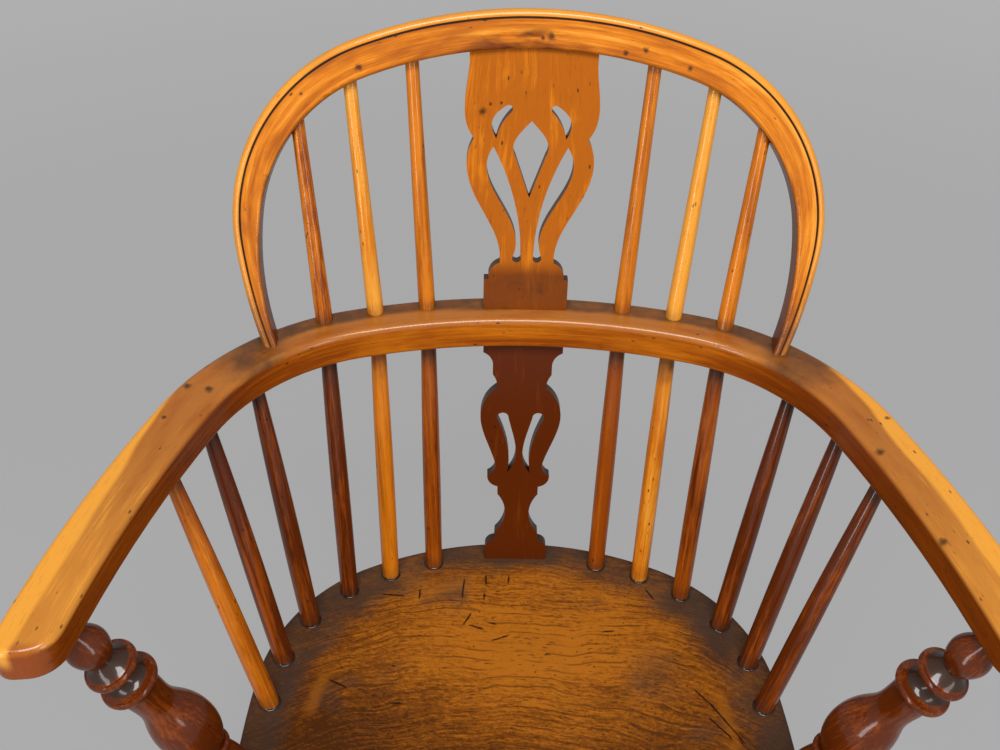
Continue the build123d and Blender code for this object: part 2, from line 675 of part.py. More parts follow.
# Lower splat: a foot block, a waist, scrolls, a pierced vase and a moulded head
with BuildPart() as lower_splat:
    with BuildSketch(lower_plane):
        with BuildLine():
            foot = Line((0, -SPLAT_SEAT_TENON), (LOWER_FOOT_WIDTH / 2, -SPLAT_SEAT_TENON))
            block = Line(foot @ 1, *low([(LOWER_FOOT_WIDTH / 2, LOWER_BLOCK_TOP)]))
            ovolo = ThreePointArc(block @ 1, *low(LOWER_OVOLO))
            step = Line(ovolo @ 1, *low(LOWER_STEP))
            waist = ThreePointArc(step @ 1, *low(LOWER_WAIST))
            square = Line(waist @ 1, *low(LOWER_FILLET))
            scroll = ThreePointArc(square @ 1, *low(LOWER_SCROLL))
            notch = ThreePointArc(scroll @ 1, *low(LOWER_NOTCH))
            vase = Spline(notch @ 1, *low(LOWER_VASE))
            neck = ThreePointArc(vase @ 1, *low(LOWER_NECK))
            throat = Line(neck @ 1, *low(LOWER_THROAT))
            cavetto = ThreePointArc(
                throat @ 1, *low([LOWER_CAVETTO_MIDDLE, (LOWER_TOP_WIDTH / 2, LOWER_CAVETTO_TOP)])
            )
            head = Line(cavetto @ 1, (LOWER_TOP_WIDTH / 2, lower_length + SPLAT_ARM_TENON))
            Line(head @ 1, (0, lower_length + SPLAT_ARM_TENON))
            mirror(about=Plane.YZ)
        make_face()
        with BuildLine():
            outer = Spline(*low(LOWER_SLOT_OUTER))
            crown = ThreePointArc(outer @ 1, *low(LOWER_SLOT_CROWN))
            Spline(crown @ 1, *low(LOWER_SLOT_INNER), outer @ 0)
        slot = make_face(mode=Mode.SUBTRACT)
        mirror(slot, about=Plane.YZ, mode=Mode.SUBTRACT)
    extrude(amount=SPLAT_THICKNESS / 2, both=True)
save(lower_splat.part, "lower_splat")

# Upper splat: a foot block, two lobes a side and five piercings
with BuildPart() as upper_splat:
    with BuildSketch(upper_plane):
        with BuildLine():
            foot = Line((0, -SPLAT_ARM_TENON), (UPPER_FOOT_WIDTH / 2, -SPLAT_ARM_TENON))
            block = Line(foot @ 1, *high([(UPPER_FOOT_WIDTH / 2, UPPER_BLOCK_TOP)]))
            step = Line(block @ 1, *high(UPPER_STEP))
            ovolo = ThreePointArc(step @ 1, *high(UPPER_OVOLO))
            lobe = Spline(ovolo @ 1, *high(UPPER_LOBE))
            shoulder = Spline(
                lobe @ 1, *high(UPPER_SHOULDER), *high([(UPPER_TOP_WIDTH / 2, UPPER_SHOULDER_TOP)])
            )
            head = Line(shoulder @ 1, (UPPER_TOP_WIDTH / 2, upper_length + SPLAT_HOOP_TENON))
            Line(head @ 1, (0, upper_length + SPLAT_HOOP_TENON))
            mirror(about=Plane.YZ)
        make_face()
        with BuildLine():
            outer = Spline(*high(UPPER_SLOT_OUTER))
            toe = ThreePointArc(outer @ 1, *high(UPPER_SLOT_TOE))
            Spline(toe @ 1, *high(UPPER_SLOT_INNER), outer @ 0)
        slot = make_face(mode=Mode.SUBTRACT)
        mirror(slot, about=Plane.YZ, mode=Mode.SUBTRACT)
        with BuildLine():
            outer = Spline(*high(UPPER_COMMA_OUTER))
            end = ThreePointArc(outer @ 1, *high(UPPER_COMMA_END))
            Spline(end @ 1, *high(UPPER_COMMA_INNER), outer @ 0)
        comma = make_face(mode=Mode.SUBTRACT)
        mirror(comma, about=Plane.YZ, mode=Mode.SUBTRACT)
        with BuildLine():
            ogee = Spline(*high(UPPER_OGEE))
            Line(ogee @ 1, *high(UPPER_OGEE_TIP))
            mirror(about=Plane.YZ)
        make_face(mode=Mode.SUBTRACT)
    extrude(amount=SPLAT_THICKNESS / 2, both=True)
save(upper_splat.part, "upper_splat")

# Arm supports, cut off level just below the arm bow, with a round tenon from there
collar_top = SUPPORT_COLLAR_AT - SUPPORT_COLLAR_WIDTH / 2
collar_end = SUPPORT_COLLAR_AT + SUPPORT_COLLAR_WIDTH / 2
collar_edge = SUPPORT_COLLAR - SUPPORT_RING_ROUND
foot_end = support_length - SUPPORT_STEM / 2
ring_top = SUPPORT_RING_AT - SUPPORT_RING_WIDTH / 2
ring_end = SUPPORT_RING_AT + SUPPORT_RING_WIDTH / 2
ring_edge = SUPPORT_RING - SUPPORT_RING_ROUND
low_ring_top = SUPPORT_LOW_RING_AT - SUPPORT_RING_WIDTH / 2
low_ring_end = SUPPORT_LOW_RING_AT + SUPPORT_RING_WIDTH / 2
low_ring_edge = SUPPORT_LOW_RING - SUPPORT_RING_ROUND
support_post = turning(
    support_head,
    support_foot,
    (-SUPPORT_CUP / 2, SUPPORT_TOP),
    [
        (SUPPORT_TOP_AT, SUPPORT_TOP),
        (SUPPORT_CUP_AT, SUPPORT_CUP),
        (SUPPORT_CUP_RIM_AT, SUPPORT_CUP_RIM),
        (SUPPORT_NECK_AT, SUPPORT_NECK),
    ],
    [(ring_top - SUPPORT_RING_COVE, SUPPORT_COVE), (ring_top, ring_edge - SUPPORT_RING_STEP)],
    [(ring_top, ring_edge)],
    [(SUPPORT_RING_AT, SUPPORT_RING), (ring_end, ring_edge)],
    [(ring_end, SUPPORT_COVE)],
    [(low_ring_top - SUPPORT_RING_COVE, SUPPORT_COVE), (low_ring_top, low_ring_edge - SUPPORT_RING_STEP)],
    [(low_ring_top, low_ring_edge)],
    [(SUPPORT_LOW_RING_AT, SUPPORT_LOW_RING), (low_ring_end, low_ring_edge)],
    [(low_ring_end, SUPPORT_SHANK)],
    [
        (SUPPORT_SHANK_AT, SUPPORT_SHANK),
        (SUPPORT_SHANK_END, SUPPORT_SHANK),
        (SUPPORT_BELLY_AT - SUPPORT_BELLY_RUN, SUPPORT_BELLY_EDGE),
        (SUPPORT_BELLY_AT, SUPPORT_BELLY),
        (SUPPORT_BELLY_AT + SUPPORT_BELLY_RUN, SUPPORT_BELLY_EDGE),
        (collar_top, SUPPORT_STEM),
    ],
    [(collar_top, collar_edge)],
    [(SUPPORT_COLLAR_AT, SUPPORT_COLLAR), (collar_end, collar_edge)],
    [(collar_end, SUPPORT_STEM)],
    [((collar_end + foot_end) / 2, SUPPORT_FOOT), (foot_end, SUPPORT_STEM)],
    [(support_length + SUPPORT_SEAT_TENON, SUPPORT_STEM)],
)
support_top = support_tenon()
peg_hole = peg_rod(FIT)
with BuildPart() as support:
    add(support_post)
    split(bisect_by=SEAT_PLANE.offset(ARM_UNDER - FIT), keep=Keep.BOTTOM)
    add(support_top)
    add(peg_hole, mode=Mode.SUBTRACT)
save_pair(support.part, "arm_support")

# Pegs, flush with the arm bow's inner face
peg_bar = peg_rod()
with BuildPart() as peg:
    add(peg_bar)
    add(arm_bar.part, mode=Mode.INTERSECT)
save_pair(peg.part, "arm_peg")

# Legs, cut off level at the floor
for label, top, toe, joint_hole in (
    ("front_leg", front_leg_top, front_leg_toe, stretcher_bar(FIT)),
    ("back_leg", back_leg_top, back_leg_toe, spur_socket()),
):
    length = (toe - top).length
    shaft_at = length * LEG_SHAFT_SHARE
    ring_at = length * LEG_RING_SHARE
    joint_at = length * STRETCHER_SHARE
    belly_run = length * LEG_BELLY_SHARE
    foot_ring_at = length * LEG_FOOT_RING_SHARE
    ring_half = LEG_RING_WIDTH / 2
    ring_edge = LEG_RING - LEG_RING_ROUND
    foot_ring_edge = LEG_FOOT_RING - LEG_RING_ROUND
    belly_edge = LEG_BELLY - LEG_BELLY_DROP
    leg_post = turning(
        top,
        toe,
        (-LEG_TENON_LENGTH, LEG_TENON),
        [(LEG_TENON / 2, LEG_TENON)],
        [(shaft_at, LEG_SHAFT), (ring_at - ring_half, LEG_WAIST)],
        [(ring_at - ring_half, ring_edge)],
        [(ring_at, LEG_RING), (ring_at + ring_half, ring_edge)],
        [(ring_at + ring_half, LEG_WAIST)],
        [
            (ring_at + LEG_RING_WIDTH * 2, LEG_WAIST),
            (joint_at - belly_run, belly_edge),
            (joint_at, LEG_BELLY),
            (joint_at + belly_run, belly_edge),
            (foot_ring_at - ring_half, LEG_ANKLE),
        ],
        [(foot_ring_at - ring_half, foot_ring_edge)],
        [(foot_ring_at, LEG_FOOT_RING), (foot_ring_at + ring_half, foot_ring_edge)],
        [(foot_ring_at + ring_half, LEG_ANKLE)],
        [(length * LEG_FOOT_SHARE, LEG_FOOT), (length, LEG_TOE)],
        [(length + LEG_TOE, LEG_TOE)],
    )
    with BuildPart() as leg:
        add(leg_post)
        split(bisect_by=Plane.XY, keep=Keep.TOP)
        add(joint_hole, mode=Mode.SUBTRACT)
    save_pair(leg.part, label)

# Stretcher bow and its two spurs
stretcher_blank = stretcher_bar()
spur_holes = both_sides([spur_socket()])
with BuildPart() as stretcher:
    add(stretcher_blank)
    add(spur_holes, mode=Mode.SUBTRACT)
save(stretcher.part, "stretcher_bow")

spur_length = (back_joint - spur_joint).length
spur_swell_end = spur_length - LEG_BELLY / 2 - SPUR_NECK
spur = turning(
    spur_joint,
    back_joint,
    (STRETCHER_DIAMETER / 2 - SPUR_BOW_TENON, SPUR_TENON),
    [(STRETCHER_DIAMETER / 2 + SPUR_NECK, SPUR_TENON)],
    [(spur_length / 2, SPUR_DIAMETER), (spur_swell_end, SPUR_TENON)],
    [(spur_length - LEG_BELLY / 2 + SPUR_LEG_TENON, SPUR_TENON)],
)
save_pair(spur, "stretcher_spur")
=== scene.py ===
"""Looks of a low-back windsor armchair: polished yew above a waxed elm seat."""
from collections import namedtuple
from functools import reduce
from math import atan2, cos, pi, radians, sin
from operator import add

import bmesh
import bpy
from mathutils import Matrix, Vector


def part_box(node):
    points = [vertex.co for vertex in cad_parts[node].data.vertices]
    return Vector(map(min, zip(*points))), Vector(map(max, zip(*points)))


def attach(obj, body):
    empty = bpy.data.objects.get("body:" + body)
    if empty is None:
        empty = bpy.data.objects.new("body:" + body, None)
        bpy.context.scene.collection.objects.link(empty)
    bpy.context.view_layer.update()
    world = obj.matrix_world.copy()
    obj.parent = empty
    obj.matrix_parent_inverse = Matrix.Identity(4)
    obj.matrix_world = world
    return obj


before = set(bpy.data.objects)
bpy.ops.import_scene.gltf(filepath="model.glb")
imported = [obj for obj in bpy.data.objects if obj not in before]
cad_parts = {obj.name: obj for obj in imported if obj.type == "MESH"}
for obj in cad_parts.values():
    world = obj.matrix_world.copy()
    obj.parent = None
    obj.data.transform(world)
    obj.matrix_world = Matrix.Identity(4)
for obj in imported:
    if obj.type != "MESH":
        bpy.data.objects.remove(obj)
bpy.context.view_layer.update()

bl_info = {
    "name": "Windsor Armchair Looks",
    "version": (1, 0, 0),
    "blender": (4, 5, 0),
    "location": "View3D > Sidebar > Windsor",
    "description": "Finishes, polish seams and studio stage for a windsor armchair",
    "category": "Object",
}

# Levels and places, in metres, taken from the frame
SEAT_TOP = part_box("seat")[1].z
ARM_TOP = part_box("arm_bow")[1].z
ARM_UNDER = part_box("arm_bow")[0].z
ARM_BACK_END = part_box("arm_bow")[1].y
ARM_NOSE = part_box("arm_bow")[0].y
HOOP_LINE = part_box("long_stick_3_right")[1].z

# The bows' arcs, from the middle outward: radii in metres and turns in degrees
ARM_RADII = (0.474, 0.187, 0.979)
ARM_TURNS = (16.1, 52.3, 12.7)
HOOP_RADII = (0.348, 0.134, 0.382)
HOOP_TURNS = (20.5, 76.7, 40.0)
HOOP_RECLINE = radians(22.9)
HOOP_FOOT = Vector((0, 0.136, ARM_TOP))
HOOP_UP = Vector((0, sin(HOOP_RECLINE), cos(HOOP_RECLINE)))
HOOP_FRONT = Vector((0, -cos(HOOP_RECLINE), sin(HOOP_RECLINE)))
HOOP_HEIGHT = 0.2349
STRETCHER_RADIUS = 0.187
STRETCHER_TURN = 90.0

# The seat's dish
DISH_CENTRE_Y = -0.046
DISH_RADIUS = 0.166

SIDES = ("right", "left")
STICK_END = 0.012
# Near black, painted into the hoop's cut line
CUT_LINE_BLACK = (0.004, 0.003, 0.002, 1.0)

# Relief and gloss that most woods here share: depth in metres, and the polish lost at a glancing angle
RELIEF = 0.00035
BASE_GLOSS = 0.10
GLANCE_LOSS = 0.85

# Roughness of the clear polish: on the bows and boards, on the sticks and on the turnings
SOFT_POLISH = 0.19
STICK_POLISH = 0.11
TURNED_POLISH = 0.10

# Features per metre of the yew's grain, along it and across it
LINE_RUN = 9.0
BROAD = (11.0, 55.0)
FIBRE = (70.0, 1100.0)
PITS = (80.0, 210.0)


# Shader maths

class Value:
    """A shader socket that takes part in sums, each of which adds a Math node."""

    def __init__(self, finish, socket):
        self.finish = finish
        self.socket = socket

    def math(self, operation, *values):
        """One Math node on these values."""
        return self.finish.node("ShaderNodeMath", {"operation": operation}, dict(enumerate(values)))

    def __add__(self, other):
        return self.math("ADD", self, other)

    def __radd__(self, other):
        return self.math("ADD", other, self)

    def __sub__(self, other):
        return self.math("SUBTRACT", self, other)

    def __rsub__(self, other):
        return self.math("SUBTRACT", other, self)

    def __mul__(self, other):
        return self.math("MULTIPLY", self, other)

    def __rmul__(self, other):
        return self.math("MULTIPLY", other, self)

    def __pow__(self, other):
        return self.math("POWER", self, other)

    def __abs__(self):
        return self.math("ABSOLUTE", self)

    def __gt__(self, other):
        return self.math("GREATER_THAN", self, other)


class Nodes:
    """A node tree, and the few calls that build it."""

    def __init__(self, tree):
        self.tree = tree

    def node(self, kind, settings=None, inputs=None, out=0):
        """A node of this type, with its settings, then its sockets' values or links; gives one output."""
        made = self.tree.nodes.new(kind)
        for key, setting in (settings or {}).items():
            if key == "stops":
                self.set_stops(made.color_ramp.elements, setting)
            else:
                setattr(made, key, setting)
        for key, value in (inputs or {}).items():
            if isinstance(value, Value):
                self.tree.links.new(value.socket, made.inputs[key])
            else:
                made.inputs[key].default_value = value
        return Value(self, made.outputs[out])

    @staticmethod
    def set_stops(elements, stops):
        """Give a ramp these (place, colour) stops."""
        while len(elements) < len(stops):
            elements.new(1.0)
        for element, (place, colour) in zip(elements, stops):
            element.position = place
            element.color = colour

    def seen(self):
        """1 for rays that show a thing, also in a gloss or through glass, and 0 for rays that light it."""
        kinds = ("Camera", "Glossy", "Transmission")
        camera, glossy, through = (self.node("ShaderNodeLightPath", out=f"Is {kind} Ray") for kind in kinds)
        return camera + glossy + through

    def vector(self, x, y, z):
        """Three values as one vector."""
        return self.node("ShaderNodeCombineXYZ", inputs={0: x, 1: y, 2: z})

    def ease(self, value, low, high):
        """0 at low and 1 at high, smoothly between; low may be the larger."""
        return self.node(
            "ShaderNodeMapRange",
            {"interpolation_type": "SMOOTHSTEP"},
            {"Value": value, "From Min": low, "From Max": high},
        )

    def noise(self, vector, scale=1.0, detail=2.0, roughness=0.5, distortion=0.0):
        """Smooth noise from about 0 to 1."""
        return self.node(
            "ShaderNodeTexNoise",
            inputs={
                "Vector": vector,
                "Scale": scale,
                "Detail": detail,
                "Roughness": roughness,
                "Distortion": distortion,
            },
        )

    def spots(self, vector, size, scale=1.0):
        """1 in the middle of scattered spots and 0 outside them; size is a share of their spacing."""
        near = self.node("ShaderNodeTexVoronoi", inputs={"Vector": vector, "Scale": scale}, out="Distance")
        return self.ease(near, size, size * 0.35)

    def mix(self, share, first, second, blend="MIX"):
        """Two colours mixed, where share 1 is all of the second."""
        settings = {"data_type": "RGBA", "blend_type": blend}
        return self.node("ShaderNodeMix", settings, {0: share, 6: first, 7: second}, 2)

    def ramp(self, value, *colours):
        """A run of evenly spaced colours."""
        last = len(colours) - 1
        stops = [(number / last, colour) for number, colour in enumerate(colours)]
        return self.node("ShaderNodeValToRGB", {"stops": stops}, {0: value})

    def atan2(self, first, second):
        """The angle of two values."""
        return self.node("ShaderNodeMath", {"operation": "ARCTAN2"}, {0: first, 1: second})

    def dot(self, first, second):
        """The dot product of two vectors."""
        settings = {"operation": "DOT_PRODUCT"}
        return self.node("ShaderNodeVectorMath", settings, {0: first, 1: second}, "Value")

    @staticmethod
    def hypot(first, second):
        """The length of two values at right angles."""
        return (first * first + second * second) ** 0.5


class Finish(Nodes):
    """A material and its nodes."""

    def __init__(self, name):
        self.material = bpy.data.materials.new(name)
        self.material.use_nodes = True
        super().__init__(self.material.node_tree)
        self.shader = self.tree.nodes["Principled BSDF"]
        self.place = self.node("ShaderNodeTexCoord", out="Object")

    def axis(self, number):
        """One coordinate of the place on the surface."""
        return self.node("ShaderNodeSeparateXYZ", inputs={0: self.place}, out=number)

    def reach(self, origin, direction):
        """How far the place lies from a point along a direction."""
        moved = self.node("ShaderNodeVectorMath", {"operation": "SUBTRACT"}, {0: self.place, 1: origin})
        return self.dot(moved, direction)

    def dress(self, colour, roughness, height, coat, coat_roughness, depth=RELIEF, specular=BASE_GLOSS):
        """Put colour, roughness, a bump of this depth, a clear coat and the base's gloss on the shader."""
        relief = {"Strength": 1.0, "Distance": depth, "Height": height}
        bump = self.node("ShaderNodeBump", inputs=relief, out="Normal")
        glance = self.node("ShaderNodeLayerWeight", inputs={"Blend": 0.5}, out="Facing")
        weight = (1.0 - glance * GLANCE_LOSS) * coat
        links = {"Base Color": colour, "Roughness": roughness, "Normal": bump, "Coat Weight": weight}
        for name, value in links.items():
            self.tree.links.new(value.socket, self.shader.inputs[name])
        self.shader.inputs["Coat Roughness"].default_value = coat_roughness
        self.shader.inputs["Specular IOR Level"].default_value = specular
        return self.material


def rgb(colour):
    """A colour property as four numbers."""
    return (*colour, 1.0)


def yew_tones(*names):
    """The yew's tones of these names, as four numbers each."""
    look = bpy.context.scene.windsor_yew
    return tuple(rgb(getattr(look, name)) for name in names)


def bow_run(finish, x, y, start, radii, turns):
    """Along a bow of joined arcs: the distance from its middle, and the depth in from its outer edge."""
    side = abs(x)
    centre_x, centre_y = 0.0, start - radii[0]
    heading = run = 0.0
    along = across = None
    for number, (radius, turn) in enumerate(zip(radii, turns)):
        over = side - centre_x
        up = y - centre_y
        angle = finish.atan2(over, up)
        here_along = (angle - heading) * radius + run
        here_across = radius - finish.hypot(over, up)
        if number:
            past = angle > heading
            along = along + (here_along - along) * past
            across = across + (here_across - across) * past
        else:
            along, across = here_along, here_across
        heading += radians(turn)
        run += radius * radians(turn)
        if number + 1 < len(radii):
            centre_x += (radius - radii[number + 1]) * sin(heading)
            centre_y += (radius - radii[number + 1]) * cos(heading)
    return along, across


def streak(finish, x, y, start, end, width, sway):
    """1 along a thin line between two points of a flat face, 0 off it; sway bends it off the straight."""
    run = Vector(end) - Vector(start)
    length = run.length
    run.normalize()
    over = (x - start[0]) * run.x + (y - start[1]) * run.y
    off = (y - start[1]) * run.x - (x - start[0]) * run.y + sway
    ends = finish.ease(over, -width, width * 3) * finish.ease(over, length + width, length - width * 3)
    ragged = finish.noise(finish.place, 300.0) * 2.0 + 0.1
    return ends * finish.ease(abs(off) * ragged, width, width * 0.3)


# Settings that a user would change

def tone(name, description, colour):
    """A colour setting."""
    return bpy.props.FloatVectorProperty(
        name=name, description=description, subtype="COLOR", size=3, min=0.0, max=1.0, default=colour
    )


class WINDSOR_PG_yew(bpy.types.PropertyGroup):
    """Tones and gloss of the polished yew."""
    gold: tone("Gold", "Pale golden wood, as on the outer edge of the arms", (0.82, 0.34, 0.036))
    orange: tone("Orange", "Warm orange wood, as on the hoop", (0.66, 0.190, 0.007))
    amber: tone("Amber", "Darker orange lines in the hoop and the upper splat", (0.43, 0.108, 0.004))
    tan: tone("Tan", "Dull tan wood, as on top of the arms", (0.42, 0.140, 0.020))
    russet: tone("Russet", "Red-brown wood, as on the arm's inner face", (0.29, 0.058, 0.003))
    brown: tone("Brown", "Dark red-brown wood, as on most sticks", (0.100, 0.017, 0.002))
    dark: tone("Dark", "Knots and pits", (0.012, 0.005, 0.003))
    # The grime tone also colours the painted shade on the sticks and the splats
    grime: tone("Grime", "Old polish in corners", (0.030, 0.017, 0.011))
    roughness: bpy.props.FloatProperty(
        name="Roughness", description="Roughness of the polished surface", default=0.24, min=0.0, max=1.0
    )
    coat: bpy.props.FloatProperty(
        name="Polish", description="Weight of the clear polish", default=0.65, min=0.0, max=1.0
    )
    line_spacing: bpy.props.FloatProperty(
        name="Line spacing", description="Spacing of the growth lines",
        default=0.0024, unit="LENGTH", precision=4,
    )


class WINDSOR_PG_elm(bpy.types.PropertyGroup):
    """Tones and wear of the elm seat."""
    honey: tone("Honey", "Worn wood in the middle of the dish", (0.41, 0.128, 0.009))
    tan: tone("Tan", "Wood between the grain lines", (0.190, 0.054, 0.005))
    grain: tone("Grain", "Open grain lines", (0.060, 0.017, 0.003))
    grime: tone("Grime", "Old wax round the sticks", (0.050, 0.031, 0.022))
    roughness: bpy.props.FloatProperty(
        name="Roughness", description="Roughness of the waxed seat", default=0.38, min=0.0, max=1.0
    )
    line_spacing: bpy.props.FloatProperty(
        name="Line spacing", description="Spacing of the grain lines",
        default=0.0090, unit="LENGTH", precision=4,
    )


class WINDSOR_PG_stage(bpy.types.PropertyGroup):
    """Camera, floor and light."""
    lens: bpy.props.FloatProperty(
        name="Lens", description="Focal length on a 36 mm sensor, in millimetres", default=44.08
    )
    camera_place: bpy.props.FloatVectorProperty(
        name="Camera place", description="Where the camera stands", subtype="TRANSLATION", unit="LENGTH",
        default=(-0.0384, -0.5590, 1.2358),
    )
    camera_yaw: bpy.props.FloatProperty(
        name="Yaw", description="Turn of the camera to the right of straight ahead",
        default=0.02899, subtype="ANGLE",
    )
    camera_pitch: bpy.props.FloatProperty(
        name="Pitch", description="Tilt of the camera below the level",
        default=0.71173, subtype="ANGLE",
    )
    camera_roll: bpy.props.FloatProperty(
        name="Roll", description="Turn of the camera about its own line of sight",
        default=-0.03398, subtype="ANGLE",
    )
    floor: tone("Floor", "Colour of the floor under the lights", (0.42, 0.42, 0.42))
    backdrop: tone("Backdrop", "Plain grey that the camera sees behind the chair", (0.45, 0.45, 0.45))
    evenness: bpy.props.FloatProperty(
        name="Evenness", description="Share of plain grey in the floor as seen, near the chair",
        default=0.7, min=0.0, max=1.0, subtype="FACTOR",
    )
    ambient: bpy.props.FloatProperty(
        name="Ambient", description="Strength of the light from all sides", default=0.17, min=0.0
    )
    top_power: bpy.props.FloatProperty(
        name="Top light", description="Power of the large light overhead",
        default=56.0, min=0.0, subtype="POWER",
    )
    key_power: bpy.props.FloatProperty(
        name="Key light", description="Power of the light in front, on the left",
        default=17.0, min=0.0, subtype="POWER",
    )
    fill_power: bpy.props.FloatProperty(
        name="Fill light", description="Power of the light in front, on the right",
        default=11.0, min=0.0, subtype="POWER",
    )


class WINDSOR_PG_seams(bpy.types.PropertyGroup):
    """Old wax in the corners round the sticks."""
    width: bpy.props.FloatProperty(
        name="Width", description="Reach of the wax out from a stick",
        default=0.0014, unit="LENGTH", precision=4,
    )
    rise: bpy.props.FloatProperty(
        name="Rise", description="Rise of the wax up a stick",
        default=0.0014, unit="LENGTH", precision=4,
    )


# Woods

Grain = namedtuple("Grain", "drift lines fibre pits")


def yew(finish, along, across, depth):
    """Yew at a place in its own grain: broad drift of tone, growth lines, fibres and pits."""
    def at(run, width):
        """The place in the grain, in features per metre along it and across it."""
        return finish.vector(along * run, across * width, depth * width)

    spacing = bpy.context.scene.windsor_yew.line_spacing
    lines = finish.noise(at(LINE_RUN, 1.0 / spacing), 0.8, detail=4.0, roughness=0.7, distortion=0.3)
    broad = finish.noise(at(*BROAD), detail=3.0, roughness=0.6, distortion=0.6)
    fibre = finish.noise(at(*FIBRE), roughness=0.6)
    pitted = finish.ease(finish.noise(finish.place, 34.0, detail=1.0), 0.50, 0.62)
    pits = finish.spots(at(*PITS), size=0.19) * pitted
    drift = (broad - 0.5) * 1.35 + (lines - 0.5) * 1.5 + (fibre - 0.5) * 0.7 + 0.5
    return Grain(drift, lines, fibre, pits)


def tint(finish, grain, tones, shift=0.0, contrast=1.0):
    """The grain's colour, from the darkest tone to the palest; shift pushes it towards one end."""
    return finish.ramp((grain.drift - 0.5) * contrast + shift + 0.5, *tones)


def knots(finish, x, y, places):
    """1 in the middle of each knot, given as (x, y, radius), and 0 away from all of them."""
    ragged = finish.noise(finish.place, 330.0) * 1.6 + 0.3
    return reduce(add, (
        finish.ease(finish.hypot(x - place_x, y - place_y) * ragged, radius * 1.5, radius * 0.2)
        for place_x, place_y, radius in places
    ))


def polish(finish, colour, grain, grime, marks=None, coat_roughness=SOFT_POLISH, dull=0.0):
    """Pits, marks and grime in the corners, which on the sticks and the splats also carries painted shade,
    then the polish, which is thin where the wood is dull.
    """
    look = bpy.context.scene.windsor_yew
    smear = finish.noise(finish.place, 48.0, detail=3.0, roughness=0.6)
    grime = finish.ease(grime + (smear - 0.5) * 0.6, 0.25, 0.95)
    dents = grain.pits
    if marks is not None:
        dents = finish.node("ShaderNodeMath", {"operation": "MAXIMUM"}, {0: dents, 1: marks})
    colour = finish.mix(finish.ease(grain.fibre, 0.56, 0.74) * 0.30, colour, rgb(look.brown))
    colour = finish.mix(dents * 0.82, colour, rgb(look.dark))
    colour = finish.mix(grime * 0.88, colour, rgb(look.grime))
    rough = (smear - 0.5) * 0.18 + grime * 0.14 + (grain.fibre - 0.5) * 0.1 + look.roughness
    height = grain.lines * 0.30 + grain.fibre * 0.10 - dents * 0.8 + smear * 0.5
    return finish.dress(colour, rough, height, (1.0 - dull) * look.coat, coat_roughness)


def bow_finish(name, x, y, depth, start, radii, turns, paint):
    """A bent bow's finish: its grain follows the bend, and paint picks the tones along and across it."""
    finish = Finish(name)
    side, level = x(finish), y(finish)
    along, across = bow_run(finish, side, level, start, radii, turns)
    hand = finish.node("ShaderNodeMath", {"operation": "SIGN"}, {0: side})
    return paint(finish, along, along * hand, across, depth(finish))


# Knots on top of the arm bow, as (x, y, radius) in metres
ARM_KNOTS = (
    (-0.2373, 0.0822, 0.0030), (-0.2215, 0.0794, 0.0035), (-0.2468, 0.0503, 0.0018),
    (0.2346, 0.0259, 0.0032), (0.2556, -0.0525, 0.0030), (0.2480, 0.0600, 0.0020),
)


def arm_paint(finish, reach, along, across, depth):
    """Arm bow: sapwood outside, tan on top, russet inside, grime by the sticks and the hoop."""
    brown, russet, orange, gold, tan = yew_tones("brown", "russet", "orange", "gold", "tan")
    grain = yew(finish, along, across, depth)
    right = finish.ease(finish.axis(0), 0.12, 0.22)
    upper = finish.ease(depth, -0.010, -0.002)
    # Upright faces, warmer round the back, with painted shade darkening them on the right
    back_face = finish.ease(reach, 0.30, 0.12)
    colour = tint(finish, grain, (brown, russet, orange, orange), back_face * 0.24 - 0.27, 0.40)
    colour = finish.mix(right * 0.30, colour, brown)
    # The top, hazy and golden towards the arms' ends
    top = finish.ease(depth, -0.0055, -0.0015)
    above = tint(finish, grain, (russet, tan, tan, gold), finish.ease(reach, 0.30, 0.48) * 0.18 + 0.02, 0.6)
    haze = finish.noise(finish.vector(along * 14.0, across * 70.0, 0.0), detail=3.0, roughness=0.6)
    above = finish.mix(finish.ease(haze, 0.42, 0.70) * 0.50, above, russet)
    above = finish.mix(finish.ease(reach, 0.30, 0.50) * 0.40, above, gold)
    colour = finish.mix(top, colour, above)
    nose = finish.ease(finish.axis(1), ARM_NOSE + 0.010, ARM_NOSE + 0.002)
    colour = finish.mix(nose * 0.8, colour, russet)
    # Sapwood along the outer edge, wider towards the arms' ends
    sway = (finish.noise(finish.vector(along * 9.0, across * 30.0, 0.0)) - 0.5) * 0.012
    strip = finish.ease(reach, 0.19, 0.46 - right * 0.12) * 0.0175 - 0.0015
    sap = finish.ease(across + sway, strip + 0.0022, strip - 0.0022) * finish.ease(depth, -0.018, -0.006)
    colour = finish.mix(sap, colour, tint(finish, grain, (tan, gold, gold, gold), 0.10))
    # Old polish by the hoop's feet and behind the sticks
    foot = finish.ease(abs(reach - 0.225), 0.062, 0.006) * upper
    back = finish.ease(reach, 0.230, 0.165) * finish.ease(across + sway, 0.023, 0.013) * upper
    marks = knots(finish, finish.axis(0), finish.axis(1), ARM_KNOTS) * top
    return polish(finish, colour, grain, foot * 0.68 + back * 0.75, marks)


# Knots on the hoop's front face, as (x, height up the face, radius) in metres
HOOP_KNOTS = (
    (-0.1186, 0.1946, 0.0026), (-0.1805, 0.1151, 0.0052), (0.0110, 0.2168, 0.0030),
    (0.0051, 0.2160, 0.0016), (0.0614, 0.2071, 0.0018), (0.0748, 0.2092, 0.0022),
    (0.1054, 0.1979, 0.0022), (-0.1580, 0.1760, 0.0014),
)


